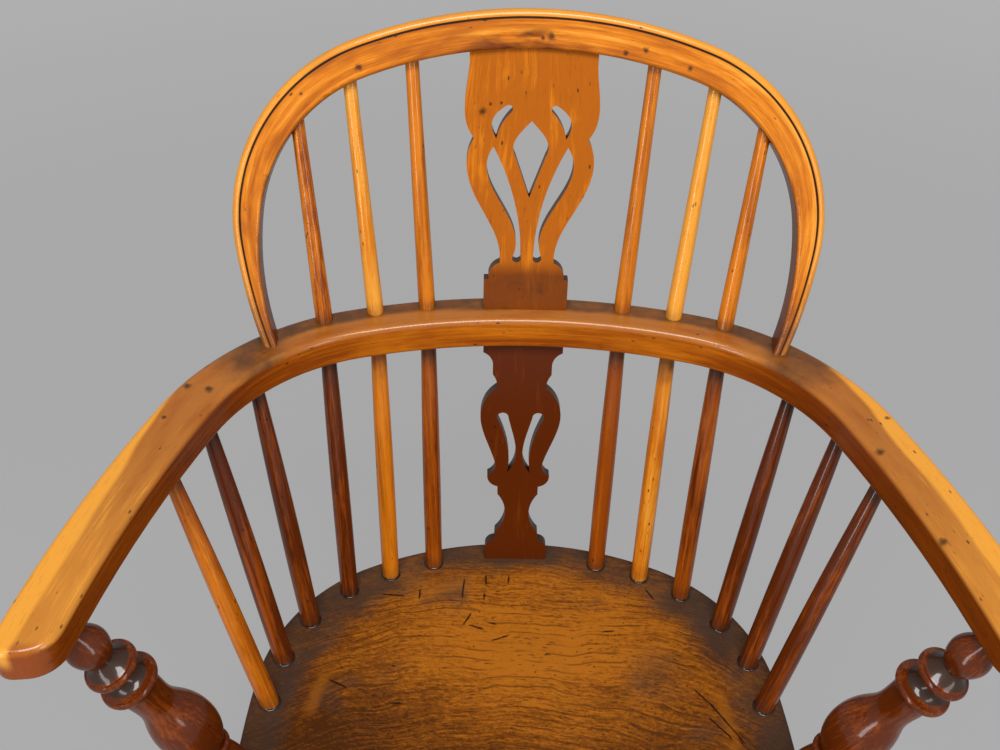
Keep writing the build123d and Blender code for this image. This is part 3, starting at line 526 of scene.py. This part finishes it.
def hoop_paint(finish, reach, along, across, depth):
    """Hoop: warm orange with a pale outer bead, a black cut line, a browner inner edge, dark feet and a
    painted shade on the inner side face.
    """
    brown, russet, amber, orange, gold = yew_tones("brown", "russet", "amber", "orange", "gold")
    grain = yew(finish, along, across, depth)
    inner = finish.ease(across, 0.010, 0.024)
    crown = finish.ease(reach, 0.12, 0.02)
    colour = tint(finish, grain, (russet, amber, orange, gold), 0.10 - inner * 0.22 * (crown + 0.4))
    # Russet patches, more of them on the left, and a smoky place at the crown
    side = finish.ease(finish.axis(0), 0.05, -0.12)
    patch = finish.noise(finish.vector(along * 16.0, across * 40.0, 0.0))
    colour = finish.mix(finish.ease(patch, 0.5, 0.72) * (side * 0.55 + 0.2), colour, russet)
    smoke = finish.noise(finish.vector(along * 30.0, across * 110.0, 0.0), detail=3.0)
    smoke = finish.ease(smoke, 0.38, 0.62) * finish.ease(across, 0.009, 0.017)
    smoke = smoke * finish.ease(abs(along + 0.012), 0.060, 0.005)
    colour = finish.mix(smoke * 0.95, colour, brown)
    # The pale bead, the inner side face painted dark as shade, and the cut line
    front = finish.ease(depth, 0.0060, 0.0090)
    colour = finish.mix(finish.ease(across, 0.0056, 0.0036) * 0.65, colour, gold)
    cut = finish.ease(abs(across - 0.0057), 0.0010, 0.0005) * front
    shaded_inside = finish.ease(depth, 0.0088, 0.0070) * finish.ease(across, 0.0085, 0.0100)
    colour = finish.mix(shaded_inside * 0.9, colour, brown)
    colour = finish.mix(cut, colour, CUT_LINE_BLACK)
    feet = finish.ease(finish.axis(2), ARM_TOP + 0.070, ARM_TOP + 0.004)
    colour = finish.mix(feet * 0.5, colour, russet)
    marks = knots(finish, finish.axis(0), finish.reach(HOOP_FOOT, HOOP_UP), HOOP_KNOTS) * front
    return polish(finish, colour, grain, feet * 0.60, marks, dull=shaded_inside * 0.85)


def centre(points):
    """The mean of some points."""
    return sum(points, Vector()) / len(points)


def stick_axis(name):
    """A point on a straight piece's axis and the axis' direction, from the ends of its solid."""
    points = [vertex.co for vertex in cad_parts[name].data.vertices]
    low = min(point.z for point in points)
    high = max(point.z for point in points)
    ends = []
    for level, way in ((low, 1), (high, -1)):
        ends.append(centre([point for point in points if (point.z - level) * way < STICK_END]))
    return ends[0], (ends[1] - ends[0]).normalized()


def turned_finish(name, node, tones, grime, contrast, coat_roughness):
    """A straight or turned piece's finish: its grain follows its axis, it is painted lighter above the arm
    bow and darker below it, and grime says where it is dark, on the sticks partly as painted shade.
    """
    finish = Finish(name)
    origin, way = stick_axis(node)
    side = way.cross(Vector((0, 1, 0))).normalized()
    front = side.cross(way)
    along = finish.reach(origin, way)
    across = finish.reach(origin, side)
    depth = finish.reach(origin, front)
    grain = yew(finish, along + origin.x * 7.0, across + origin.x, depth)
    # Painted light on the sticks above the arm bow and painted shade below it
    shade = finish.ease(finish.axis(2), ARM_TOP + 0.02, ARM_TOP - 0.03) * -0.54 + 0.38
    colour = tint(finish, grain, tones, shade, contrast)
    return polish(finish, colour, grain, grime(finish, origin, way), None, coat_roughness)


def put(node, material):
    """Give a node's solid this finish."""
    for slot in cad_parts[node].material_slots:
        slot.material = material


# Operators, one for each piece or group of like pieces

class WINDSOR_OT_seat(bpy.types.Operator):
    """Finish the elm seat: wavy open grain, a worn dish, a grimy rim, dents and a crack"""
    bl_idname = "windsor.seat"
    bl_label = "Seat"

    # Cracks and dents, each from one point (x, y) to another, in metres
    CRACKS = (
        ((0.140, 0.009), (0.149, -0.004)), ((0.149, -0.003), (0.170, -0.042)),
        ((0.148, -0.017), (0.162, -0.039)),
    )
    DENTS = (
        ((-0.042, 0.116), (-0.044, 0.095)), ((-0.024, 0.120), (-0.025, 0.109)),
        ((-0.026, 0.103), (-0.0265, 0.0945)), ((-0.006, 0.120), (-0.007, 0.111)),
        ((-0.081, 0.104), (-0.081, 0.093)), ((-0.039, 0.071), (-0.026, 0.067)),
        ((-0.024, 0.074), (-0.015, 0.073)), ((-0.037, 0.083), (-0.044, 0.070)),
        ((-0.021, 0.057), (-0.006, 0.063)), ((-0.101, 0.030), (-0.096, 0.030)),
        ((-0.100, -0.004), (-0.089, -0.004)), ((-0.112, 0.099), (-0.092, 0.096)),
        ((-0.148, 0.014), (-0.133, 0.006)), ((0.070, 0.064), (0.081, 0.066)),
        ((0.022, 0.045), (0.028, 0.046)), ((0.108, 0.105), (0.115, 0.094)),
    )
    # Features per metre, along the grain and across it, and through the board for streaks and dashes
    SWAY = (4.5, 5.0)
    RIPPLE = (24.0, 20.0)
    STREAKS = (34.0, 520.0)
    PATCHES = (9.0, 22.0)
    BREAKS = (26.0, 70.0)
    DASHES = (110.0, 430.0)
    BLOTCHES = (18.0, 26.0)
    THROUGH = 60.0
    # Widths of cracks and dents, then the middles of the worn place and of a stain, in metres
    CRACK_WIDTH = 0.0009
    DENT_WIDTH = 0.0011
    WORN = (0.010, 0.045)
    STAIN = (0.108, 0.028)
    # Dirt in the dents, the wax's weight and roughness, and the wood's own gloss
    DIRT = (0.010, 0.006, 0.004, 1.0)
    WAX = 0.24
    WAX_ROUGHNESS = 0.24
    GLOSS = 0.01

    def execute(self, context):
        look = context.scene.windsor_elm
        finish = Finish("waxed_elm")
        x, y, z = (finish.axis(number) for number in range(3))
        grain = rgb(look.grain)

        def at(features, level=y, depth=z):
            """The place on the seat, in features per metre along the grain and across it."""
            run, width = features
            return finish.vector(x * run, level * width, depth)

        # Wavy grain across the seat, paler where it is worn
        sway = finish.noise(at(self.SWAY)) - 0.5
        ripple = finish.noise(at(self.RIPPLE)) - 0.5
        bow = y + x * x * 1.5 + sway * 0.085 + ripple * 0.014
        streaks = finish.noise(at(self.STREAKS, bow, z * self.THROUGH), detail=4.0, roughness=0.75)
        broad = finish.noise(at(self.PATCHES), detail=3.0, roughness=0.6)
        front = finish.ease(y, 0.03, -0.05)
        worn = finish.ease(finish.hypot(x - self.WORN[0], (y - self.WORN[1]) * 1.25), 0.20, 0.03)
        slant = finish.vector(x * 230.0 + y * 120.0, y * 420.0, z)
        scuff = finish.noise(slant, detail=4.0, roughness=0.8, distortion=0.8) - 0.5
        shade = (streaks - 0.5) * 1.15 + (broad - 0.5) * 0.8 + scuff * 1.25
        shade = shade + worn * 0.36 + 0.27 - front * 0.20
        colour = finish.ramp(shade, grain, rgb(look.tan), rgb(look.honey), rgb(look.honey))
        # Open grain: lines of early wood and short dashes
        turns = bow * (2 * pi / look.line_spacing)
        rings = finish.node("ShaderNodeMath", {"operation": "SINE"}, {0: turns})
        breaks = finish.noise(at(self.BREAKS, bow))
        lines = finish.ease(rings, 0.72, 0.98) * finish.ease(breaks, 0.40, 0.6)
        dash = finish.spots(at(self.DASHES, bow, z * self.THROUGH), size=0.36)
        dash = dash * finish.ease(finish.noise(finish.place, 60.0), 0.40, 0.60)
        colour = finish.mix(lines * 0.55, colour, grain)
        colour = finish.mix(dash * 0.70, colour, grain)
        blotch = finish.noise(at(self.BLOTCHES), detail=3.0)
        colour, rim = self.old_wax(finish, x, y, blotch, colour, look)
        # Specks, dents and the crack
        marks = self.marks(finish, x, y, ripple * 0.010)
        marks = marks * finish.ease(z, SEAT_TOP - 0.016, SEAT_TOP - 0.014)
        specks = finish.spots(finish.place, size=0.16, scale=130.0) * finish.ease(broad, 0.45, 0.55)
        colour = finish.mix(specks * 0.75, colour, grain)
        colour = finish.mix(marks * 0.92, colour, self.DIRT)
        rough = (broad - 0.5) * 0.22 + rim * -0.12 + (streaks - 0.5) * 0.12 + look.roughness
        height = (streaks * 0.30 - dash * 0.5 - lines * 0.2) * (1.0 - rim * 0.8)
        height = height - marks * 1.6 - specks * 0.5 + blotch
        put("seat", finish.dress(colour, rough, height, self.WAX, self.WAX_ROUGHNESS, specular=self.GLOSS))
        return {"FINISHED"}

    def old_wax(self, finish, x, y, blotch, colour, look):
        """The colour under smudges, a stain, a grimy rim and a painted highlight round the dish's edge; and
        the rim.
        """
        grime = rgb(look.grime)
        out = finish.hypot(x, y - DISH_CENTRE_Y)
        blur = (finish.noise(finish.place, 26.0, detail=3.0, roughness=0.6) - 0.5) * 0.030
        back = finish.ease(y, -0.16, 0.0)
        rim = finish.ease(out + blur, DISH_RADIUS, DISH_RADIUS + 0.022) * (back * 0.45 + 0.5)
        rim = rim * (finish.ease(blotch, 0.64, 0.44) * 0.45 + 0.55)
        # A lighter line round the dish's edge: a painted highlight
        dish_edge_highlight = finish.ease(abs(out + blur * 0.3 - DISH_RADIUS + 0.003), 0.008, 0.001)
        dish_edge_highlight = dish_edge_highlight * finish.ease(blotch, 0.40, 0.60)
        stain = finish.ease(finish.hypot((x - self.STAIN[0]) * 0.7, y - self.STAIN[1]), 0.026, 0.004)
        stain = stain * finish.ease(blotch, 0.35, 0.6)
        smudge = finish.ease(blotch, 0.55, 0.75) * finish.ease(out, 0.08, 0.15) + stain
        colour = finish.mix(smudge * 0.50, colour, grime)
        colour = finish.mix(rim * 0.90, colour, grime)
        colour = finish.mix(dish_edge_highlight * 0.35, colour, rgb(look.honey))
        return colour, rim

    def marks(self, finish, x, y, sway):
        """1 in the cracks and dents, 0 elsewhere."""
        return reduce(add, (
            streak(finish, x, y, start, end, width, sway)
            for width, runs in ((self.CRACK_WIDTH, self.CRACKS), (self.DENT_WIDTH, self.DENTS))
            for start, end in runs
        ))


class WINDSOR_OT_arm_bow(bpy.types.Operator):
    """Finish the arm bow: sapwood strip outside, russet inside, grain that follows the bend"""
    bl_idname = "windsor.arm_bow"
    bl_label = "Arm bow"

    def execute(self, context):
        material = bow_finish(
            "yew_arm_bow",
            lambda finish: finish.axis(0),
            lambda finish: finish.axis(1),
            lambda finish: finish.axis(2) - ARM_TOP,
            ARM_BACK_END, ARM_RADII, ARM_TURNS, arm_paint,
        )
        put("arm_bow", material)
        return {"FINISHED"}


class WINDSOR_OT_hoop(bpy.types.Operator):
    """Finish the hoop: warm orange yew whose grain follows the bend"""
    bl_idname = "windsor.hoop"
    bl_label = "Hoop"

    def execute(self, context):
        material = bow_finish(
            "yew_hoop",
            lambda finish: finish.axis(0),
            lambda finish: finish.reach(HOOP_FOOT, HOOP_UP),
            lambda finish: finish.reach(HOOP_FOOT, HOOP_FRONT),
            HOOP_HEIGHT, HOOP_RADII, HOOP_TURNS, hoop_paint,
        )
        put("hoop", material)
        return {"FINISHED"}


class WINDSOR_OT_sticks(bpy.types.Operator):
    """Finish the long and short sticks, each in its own tone"""
    bl_idname = "windsor.sticks"
    bl_label = "Sticks"

    # Each stick's run of tones, and the runs, from the darkest tone to the palest
    TONES = {
        "long_stick_1_left": "tan", "long_stick_2_left": "gold", "long_stick_3_left": "russet",
        "long_stick_1_right": "amber", "long_stick_2_right": "pale", "long_stick_3_right": "tan",
        "short_stick_1_left": "brown", "short_stick_2_left": "brown", "short_stick_3_left": "orange",
        "short_stick_1_right": "brown", "short_stick_2_right": "brown", "short_stick_3_right": "brown",
    }
    RUNS = {
        "pale": ("amber", "orange", "gold", "gold"),
        "gold": ("amber", "orange", "orange", "gold"),
        "orange": ("russet", "amber", "orange", "gold"),
        "amber": ("russet", "russet", "amber", "orange"),
        "tan": ("brown", "russet", "amber", "orange"),
        "russet": ("brown", "brown", "russet", "orange"),
        "brown": ("brown", "brown", "russet", "russet"),
    }
    CONTRAST = 0.9

    def execute(self, context):
        for node, kind in self.TONES.items():
            tones = yew_tones(*self.RUNS[kind])
            put(node, turned_finish(f"yew_{node}", node, tones, self.grime, self.CONTRAST, STICK_POLISH))
        return {"FINISHED"}

    @staticmethod
    def grime(finish, origin, way):
        """Dark at the seat and just above the arm bow; painted shade just below the arm bow; at the hoop,
        painted shade with dark joints.
        """
        level = finish.axis(2)
        foot = finish.ease(level, SEAT_TOP + 0.030, SEAT_TOP + 0.002)
        over = finish.ease(level, ARM_UNDER, ARM_TOP)
        under = finish.ease(level, ARM_TOP, ARM_UNDER)
        # Painted shade under the arm bow
        below = finish.ease(level, ARM_UNDER - 0.055, ARM_UNDER - 0.004) * under
        above = finish.ease(level, ARM_TOP + 0.022, ARM_TOP) * over
        # Painted shade where the sticks meet the hoop, with dark joints
        top = finish.ease(level, HOOP_LINE - 0.004, HOOP_LINE + 0.030)
        return foot * 0.55 + below * 0.70 + above * 0.55 + top * 0.3


class WINDSOR_OT_splats(bpy.types.Operator):
    """Finish the two pierced splats: grain up the board, sawn edges painted dark as shade"""
    bl_idname = "windsor.splats"
    bl_label = "Splats"

    # Each board's tones, the height of its square foot in metres, and its contrast
    BOARDS = (
        ("upper_splat", ("russet", "amber", "amber", "orange"), 0.045, 0.8),
        ("lower_splat", ("brown", "brown", "brown", "russet"), 0.010, 0.3),
    )
    # Knots on the upper splat, as (x, level, radius) in metres
    KNOTS = ((-0.0346, 0.8185, 0.0028), (-0.0292, 0.8235, 0.0014), (-0.0215, 0.8245, 0.0012))
    DULL = 0.6

    def execute(self, context):
        for node, tones, block, contrast in self.BOARDS:
            put(node, self.board(node, yew_tones(*tones), block, contrast))
        return {"FINISHED"}

    def board(self, node, tones, block, contrast):
        """A board's finish, with arched figure, sawn sides painted dark as shade and a brown foot up to
        this height.
        """
        (brown,) = yew_tones("brown")
        low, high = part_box(node)
        finish = Finish(f"yew_{node}")
        x, level = finish.axis(0), finish.axis(2)
        rise = Vector((0, high.y - low.y, high.z - low.z)).normalized()
        front = Vector((0, -rise.z, rise.y))
        middle = (low + high) / 2
        up = finish.reach(middle, rise)
        depth = finish.reach(middle, front)
        arch = finish.noise(finish.vector(x * 12.0, up * 7.0, 0.0)) - 0.5
        across = x + arch * 0.020 + up * x * 1.5
        grain = yew(finish, up, across, depth)
        patches = finish.vector(x * 38.0, up * 15.0, 0.0)
        mottle = finish.noise(patches, detail=3.0, roughness=0.6, distortion=0.8) - 0.5
        colour = tint(finish, grain, tones, mottle * contrast * 1.2 + 0.10, contrast)
        # The sawn sides, painted near black in the grime colour: painted shade
        sawn = finish.node("ShaderNodeNewGeometry", out="Normal")
        edge = finish.ease(abs(finish.dot(sawn, front)), 0.75, 0.35)
        foot = finish.ease(level, low.z + block + 0.006, low.z + block - 0.010)
        # Darker smudges at the board's head, under the hoop: painted shade
        head = finish.ease(level, high.z - 0.050, high.z - 0.008) * finish.ease(mottle, -0.10, 0.12)
        smear = finish.noise(finish.place, 21.0, detail=3.0, roughness=0.55)
        smudge = finish.ease(smear, 0.56, 0.74) + head
        marks = knots(finish, x, level, self.KNOTS) * finish.ease(edge, 0.5, 0.0)
        colour = finish.mix(foot * 0.7, colour, brown)
        # The grime mask: painted shade on the sawn sides and at the head, with the foot and smears
        grime = edge * 0.95 + foot * (0.40 + mottle) + smudge * 0.45
        return polish(finish, colour, grain, grime, marks, dull=self.DULL)


class WINDSOR_OT_turnings(bpy.types.Operator):
    """Finish the turned arm supports, the legs and the pegs: dark red-brown, almost black in the coves"""
    bl_idname = "windsor.turnings"
    bl_label = "Turnings"

    # The coves' upper and lower ends, as distances below the arm bow
    COVES = ((0.0365, 0.0452), (0.0525, 0.0655))
    CONTRAST = 0.6

    def execute(self, context):
        tones = yew_tones("brown", "brown", "russet", "amber")
        for side in SIDES:
            for node, grime in (
                (f"arm_support_{side}", self.coves),
                (f"front_leg_{side}", self.feet),
                (f"back_leg_{side}", self.feet),
                (f"arm_peg_{side}", self.plain),
            ):
                put(node, turned_finish(f"yew_{node}", node, tones, grime, self.CONTRAST, TURNED_POLISH))
        return {"FINISHED"}

    @classmethod
    def coves(cls, finish, origin, way):
        """Old polish in the coves above the two rings."""
        head = origin + way * ((ARM_UNDER - origin.z) / way.z)
        drop = finish.reach(head, -way)
        first, second = (
            finish.ease(drop, top - 0.0010, top + 0.0005) * finish.ease(drop, end + 0.0004, end - 0.0004)
            for top, end in cls.COVES
        )
        return first + second

    @staticmethod
    def feet(finish, origin, way):
        """Scuffed dark feet."""
        return finish.ease(finish.axis(2), 0.060, 0.004) * 0.6

    @staticmethod
    def plain(finish, origin, way):
        """A little grime all over."""
        return finish.noise(finish.place, 90.0) * 0.7


class WINDSOR_OT_stretcher(bpy.types.Operator):
    """Finish the bowed stretcher and its spurs"""
    bl_idname = "windsor.stretcher"
    bl_label = "Stretcher"

    TONES = ("brown", "brown", "russet", "orange")
    GRIME = 0.6

    def execute(self, context):
        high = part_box("stretcher_bow")[1]
        material = bow_finish(
            "yew_stretcher_bow",
            lambda finish: finish.axis(0),
            lambda finish: finish.axis(1),
            lambda finish: finish.axis(2) - high.z,
            high.y, (STRETCHER_RADIUS,), (STRETCHER_TURN,), self.paint,
        )
        put("stretcher_bow", material)
        for side in SIDES:
            put(f"stretcher_spur_{side}", self.spur(f"stretcher_spur_{side}"))
        return {"FINISHED"}

    @classmethod
    def paint(cls, finish, reach, along, across, depth):
        """Dark russet, grimy where it enters the legs."""
        grain = yew(finish, along, across, depth)
        colour = tint(finish, grain, yew_tones(*cls.TONES))
        return polish(finish, colour, grain, finish.ease(reach, 0.16, 0.22) * cls.GRIME)

    @classmethod
    def spur(cls, node):
        """A spur's finish: its grain runs level, from front to back."""
        low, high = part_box(node)
        lean = (high.x - low.x) * (1 if low.x > 0 else -1)
        way = Vector((lean, high.y - low.y, 0)).normalized()
        side = Vector((way.y, -way.x, 0))
        middle = (low + high) / 2
        finish = Finish(f"yew_{node}")
        along = finish.reach(middle, way)
        grain = yew(finish, along, finish.reach(middle, side), finish.axis(2))
        ends = finish.ease(abs(along), 0.085, 0.110)
        return polish(finish, tint(finish, grain, yew_tones(*cls.TONES)), grain, ends * cls.GRIME)


class WINDSOR_OT_seams(bpy.types.Operator):
    """Lay the old wax that gathers where sticks and the hoop enter the seat and the arm bow"""
    bl_idname = "windsor.seams"
    bl_label = "Wax seams"

    COAT = 0.6
    COAT_ROUGHNESS = 0.14
    DEPTH = 0.0003
    # The seam's hollow outline, as shares of its width out from the piece and of its rise
    OUTLINE = ((1.0, 0.0), (0.45, 0.16), (0.18, 0.45), (0.0, 1.0))
    LIFT = 0.0001

    def execute(self, context):
        look = context.scene.windsor_yew
        finish = Finish("old_wax")
        smear = finish.noise(finish.place, 420.0)
        colour = finish.ramp(smear, rgb(look.dark), rgb(look.grime))
        rough = smear * 0.3 + 0.16
        material = finish.dress(colour, rough, smear, self.COAT, self.COAT_ROUGHNESS, depth=self.DEPTH)
        sticks = [
            f"{kind}_stick_{number}_{side}"
            for kind in ("long", "short")
            for number in (1, 2, 3)
            for side in SIDES
        ]
        self.seam(context, "wax_at_seat", sticks, SEAT_TOP, material, "sticks")
        self.seam(context, "wax_at_hoop", ["hoop"], ARM_TOP, material, "bows")
        return {"FINISHED"}

    def seam(self, context, name, nodes, level, material, slot):
        """One mesh with a concave ring of wax round each piece that passes this level."""
        size = context.scene.windsor_seams
        mesh = bmesh.new()
        for node in nodes:
            for side in (1, -1):
                low = self.section(node, level + self.LIFT, side)
                high = self.section(node, level + size.rise, side)
                if low:
                    self.ring(mesh, size.width, low, centre(high) - centre(low))
        data = bpy.data.meshes.new(name)
        mesh.to_mesh(data)
        mesh.free()
        data.shade_smooth()
        data.materials.append(material)
        piece = bpy.data.objects.new(name, data)
        context.scene.collection.objects.link(piece)
        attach(piece, "root")

    @staticmethod
    def section(node, level, side):
        """The points where a solid crosses a level on one side of the middle, in order round it."""
        mesh = bmesh.new()
        mesh.from_mesh(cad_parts[node].data)
        everything = mesh.verts[:] + mesh.edges[:] + mesh.faces[:]
        cut = bmesh.ops.bisect_plane(mesh, geom=everything, plane_co=(0, 0, level), plane_no=(0, 0, 1))
        corners = [part.co.copy() for part in cut["geom_cut"] if isinstance(part, bmesh.types.BMVert)]
        points = [point for point in corners if point.x * side > 0]
        mesh.free()
        if points:
            middle = centre(points)
            points.sort(key=lambda point: atan2(point.y - middle.y, point.x - middle.x))
        return points

    @classmethod
    def ring(cls, mesh, width, points, lean):
        """A concave ring out from these points, leaning with the piece that it goes round."""
        middle = centre(points)
        rows = []
        for out, up in cls.OUTLINE:
            row = [point + (point - middle).normalized() * width * out + lean * up for point in points]
            rows.append([mesh.verts.new(place) for place in row])
        for outer, inner in zip(rows, rows[1:]):
            for number in range(len(points)):
                after = (number + 1) % len(points)
                mesh.faces.new((outer[number], outer[after], inner[after], inner[number]))


class WINDSOR_OT_stage(bpy.types.Operator):
    """Set up the floor, the soft lights and the camera"""
    bl_idname = "windsor.stage"
    bl_label = "Stage"

    # Each light's width and height, its place and the point that it faces, in metres
    TOP = ((1.6, 0.8), (0.0, -1.1, 2.7), (0.0, 0.1, 0.6))
    KEY = ((0.5, 1.6), (-1.4, -1.8, 1.0), (0.0, 0.1, 0.7))
    FILL = ((0.5, 1.4), (1.5, -1.7, 1.2), (0.0, 0.1, 0.7))
    # The floor's reach, and the distances over which it fades to the plain backdrop
    FLOOR_REACH = 30.0
    FADE = (0.8, 3.2)
    FLOOR_ROUGHNESS = 0.9
    SENSOR = 36.0

    def execute(self, context):
        look = context.scene.windsor_stage
        scene = context.scene
        scene.view_settings.view_transform = "Standard"
        self.floor(scene, look)
        self.world(scene, look)
        self.light(scene, "top", look.top_power, *self.TOP)
        self.light(scene, "key", look.key_power, *self.KEY)
        self.light(scene, "fill", look.fill_power, *self.FILL)
        self.camera(scene, look)
        return {"FINISHED"}

    @staticmethod
    def world(scene, look):
        """A world that lights the chair from all sides and shows the plain backdrop."""
        world = bpy.data.worlds.new("studio")
        world.use_nodes = True
        nodes = Nodes(world.node_tree)
        glow = (look.ambient, look.ambient, look.ambient, 1.0)
        colour = nodes.mix(nodes.seen(), glow, rgb(look.backdrop))
        world.node_tree.links.new(colour.socket, world.node_tree.nodes["Background"].inputs["Color"])
        scene.world = world

    @classmethod
    def floor(cls, scene, look):
        """A wide pale floor with a soft shadow by the chair, which fades to the plain backdrop far off."""
        mesh = bmesh.new()
        bmesh.ops.create_grid(mesh, x_segments=1, y_segments=1, size=cls.FLOOR_REACH)
        data = bpy.data.meshes.new("floor")
        mesh.to_mesh(data)
        mesh.free()
        finish = Finish("studio_floor")
        finish.shader.inputs["Base Color"].default_value = rgb(look.floor)
        finish.shader.inputs["Roughness"].default_value = cls.FLOOR_ROUGHNESS
        plain = finish.node("ShaderNodeEmission", inputs={"Color": rgb(look.backdrop)})
        lit = Value(finish, finish.shader.outputs[0])
        far = finish.ease(finish.hypot(finish.axis(0), finish.axis(1)), *cls.FADE)
        share = finish.seen() * (far * (1.0 - look.evenness) + look.evenness)
        mixed = finish.node("ShaderNodeMixShader", inputs={0: share, 1: lit, 2: plain})
        finish.tree.links.new(mixed.socket, finish.tree.nodes["Material Output"].inputs["Surface"])
        data.materials.append(finish.material)
        floor = bpy.data.objects.new("floor", data)
        scene.collection.objects.link(floor)

    @staticmethod
    def light(scene, name, power, size, place, target):
        """A soft light of this width and height that faces a point."""
        lamp = bpy.data.lights.new(name, "AREA")
        lamp.energy = power
        lamp.shape = "RECTANGLE"
        lamp.size, lamp.size_y = size
        holder = bpy.data.objects.new(name, lamp)
        holder.location = place
        holder.rotation_euler = (Vector(target) - Vector(place)).to_track_quat("-Z", "Y").to_euler()
        scene.collection.objects.link(holder)

    @classmethod
    def camera(cls, scene, look):
        """A camera at the photograph's place and angle."""
        yaw, pitch, roll = look.camera_yaw, look.camera_pitch, look.camera_roll
        ahead = Vector((sin(yaw) * cos(pitch), cos(yaw) * cos(pitch), -sin(pitch)))
        right = Vector((cos(yaw), -sin(yaw), 0))
        down = ahead.cross(right)
        across = right * cos(roll) + down * sin(roll)
        drop = down * cos(roll) - right * sin(roll)
        data = bpy.data.cameras.new("camera")
        data.sensor_width = cls.SENSOR
        data.lens = look.lens
        camera = bpy.data.objects.new("camera", data)
        turn = Matrix((across, -drop, -ahead)).transposed().to_4x4()
        camera.matrix_world = Matrix.Translation(look.camera_place) @ turn
        scene.collection.objects.link(camera)
        scene.camera = camera


class WINDSOR_PT_panel(bpy.types.Panel):
    """Lists the steps that dress the chair"""
    bl_idname = "WINDSOR_PT_panel"
    bl_label = "Windsor Armchair"
    bl_space_type = "VIEW_3D"
    bl_region_type = "UI"
    bl_category = "Windsor"

    def draw(self, context):
        for step in STEPS:
            self.layout.operator(step.bl_idname)


STEPS = (
    WINDSOR_OT_seat,
    WINDSOR_OT_arm_bow,
    WINDSOR_OT_hoop,
    WINDSOR_OT_sticks,
    WINDSOR_OT_splats,
    WINDSOR_OT_turnings,
    WINDSOR_OT_stretcher,
    WINDSOR_OT_seams,
    WINDSOR_OT_stage,
)
SETTINGS = {
    "windsor_yew": WINDSOR_PG_yew,
    "windsor_elm": WINDSOR_PG_elm,
    "windsor_stage": WINDSOR_PG_stage,
    "windsor_seams": WINDSOR_PG_seams,
}


def register():
    for settings in SETTINGS.values():
        bpy.utils.register_class(settings)
    for name, settings in SETTINGS.items():
        setattr(bpy.types.Scene, name, bpy.props.PointerProperty(type=settings))
    for kind in (*STEPS, WINDSOR_PT_panel):
        bpy.utils.register_class(kind)


def unregister():
    for kind in (WINDSOR_PT_panel, *reversed(STEPS)):
        bpy.utils.unregister_class(kind)
    for name in SETTINGS:
        delattr(bpy.types.Scene, name)
    for settings in SETTINGS.values():
        bpy.utils.unregister_class(settings)


def main():
    """Dress the chair."""
    register()
    for step in STEPS:
        group, name = step.bl_idname.split(".")
        getattr(getattr(bpy.ops, group), name)()


if __name__ == "__main__":
    main()
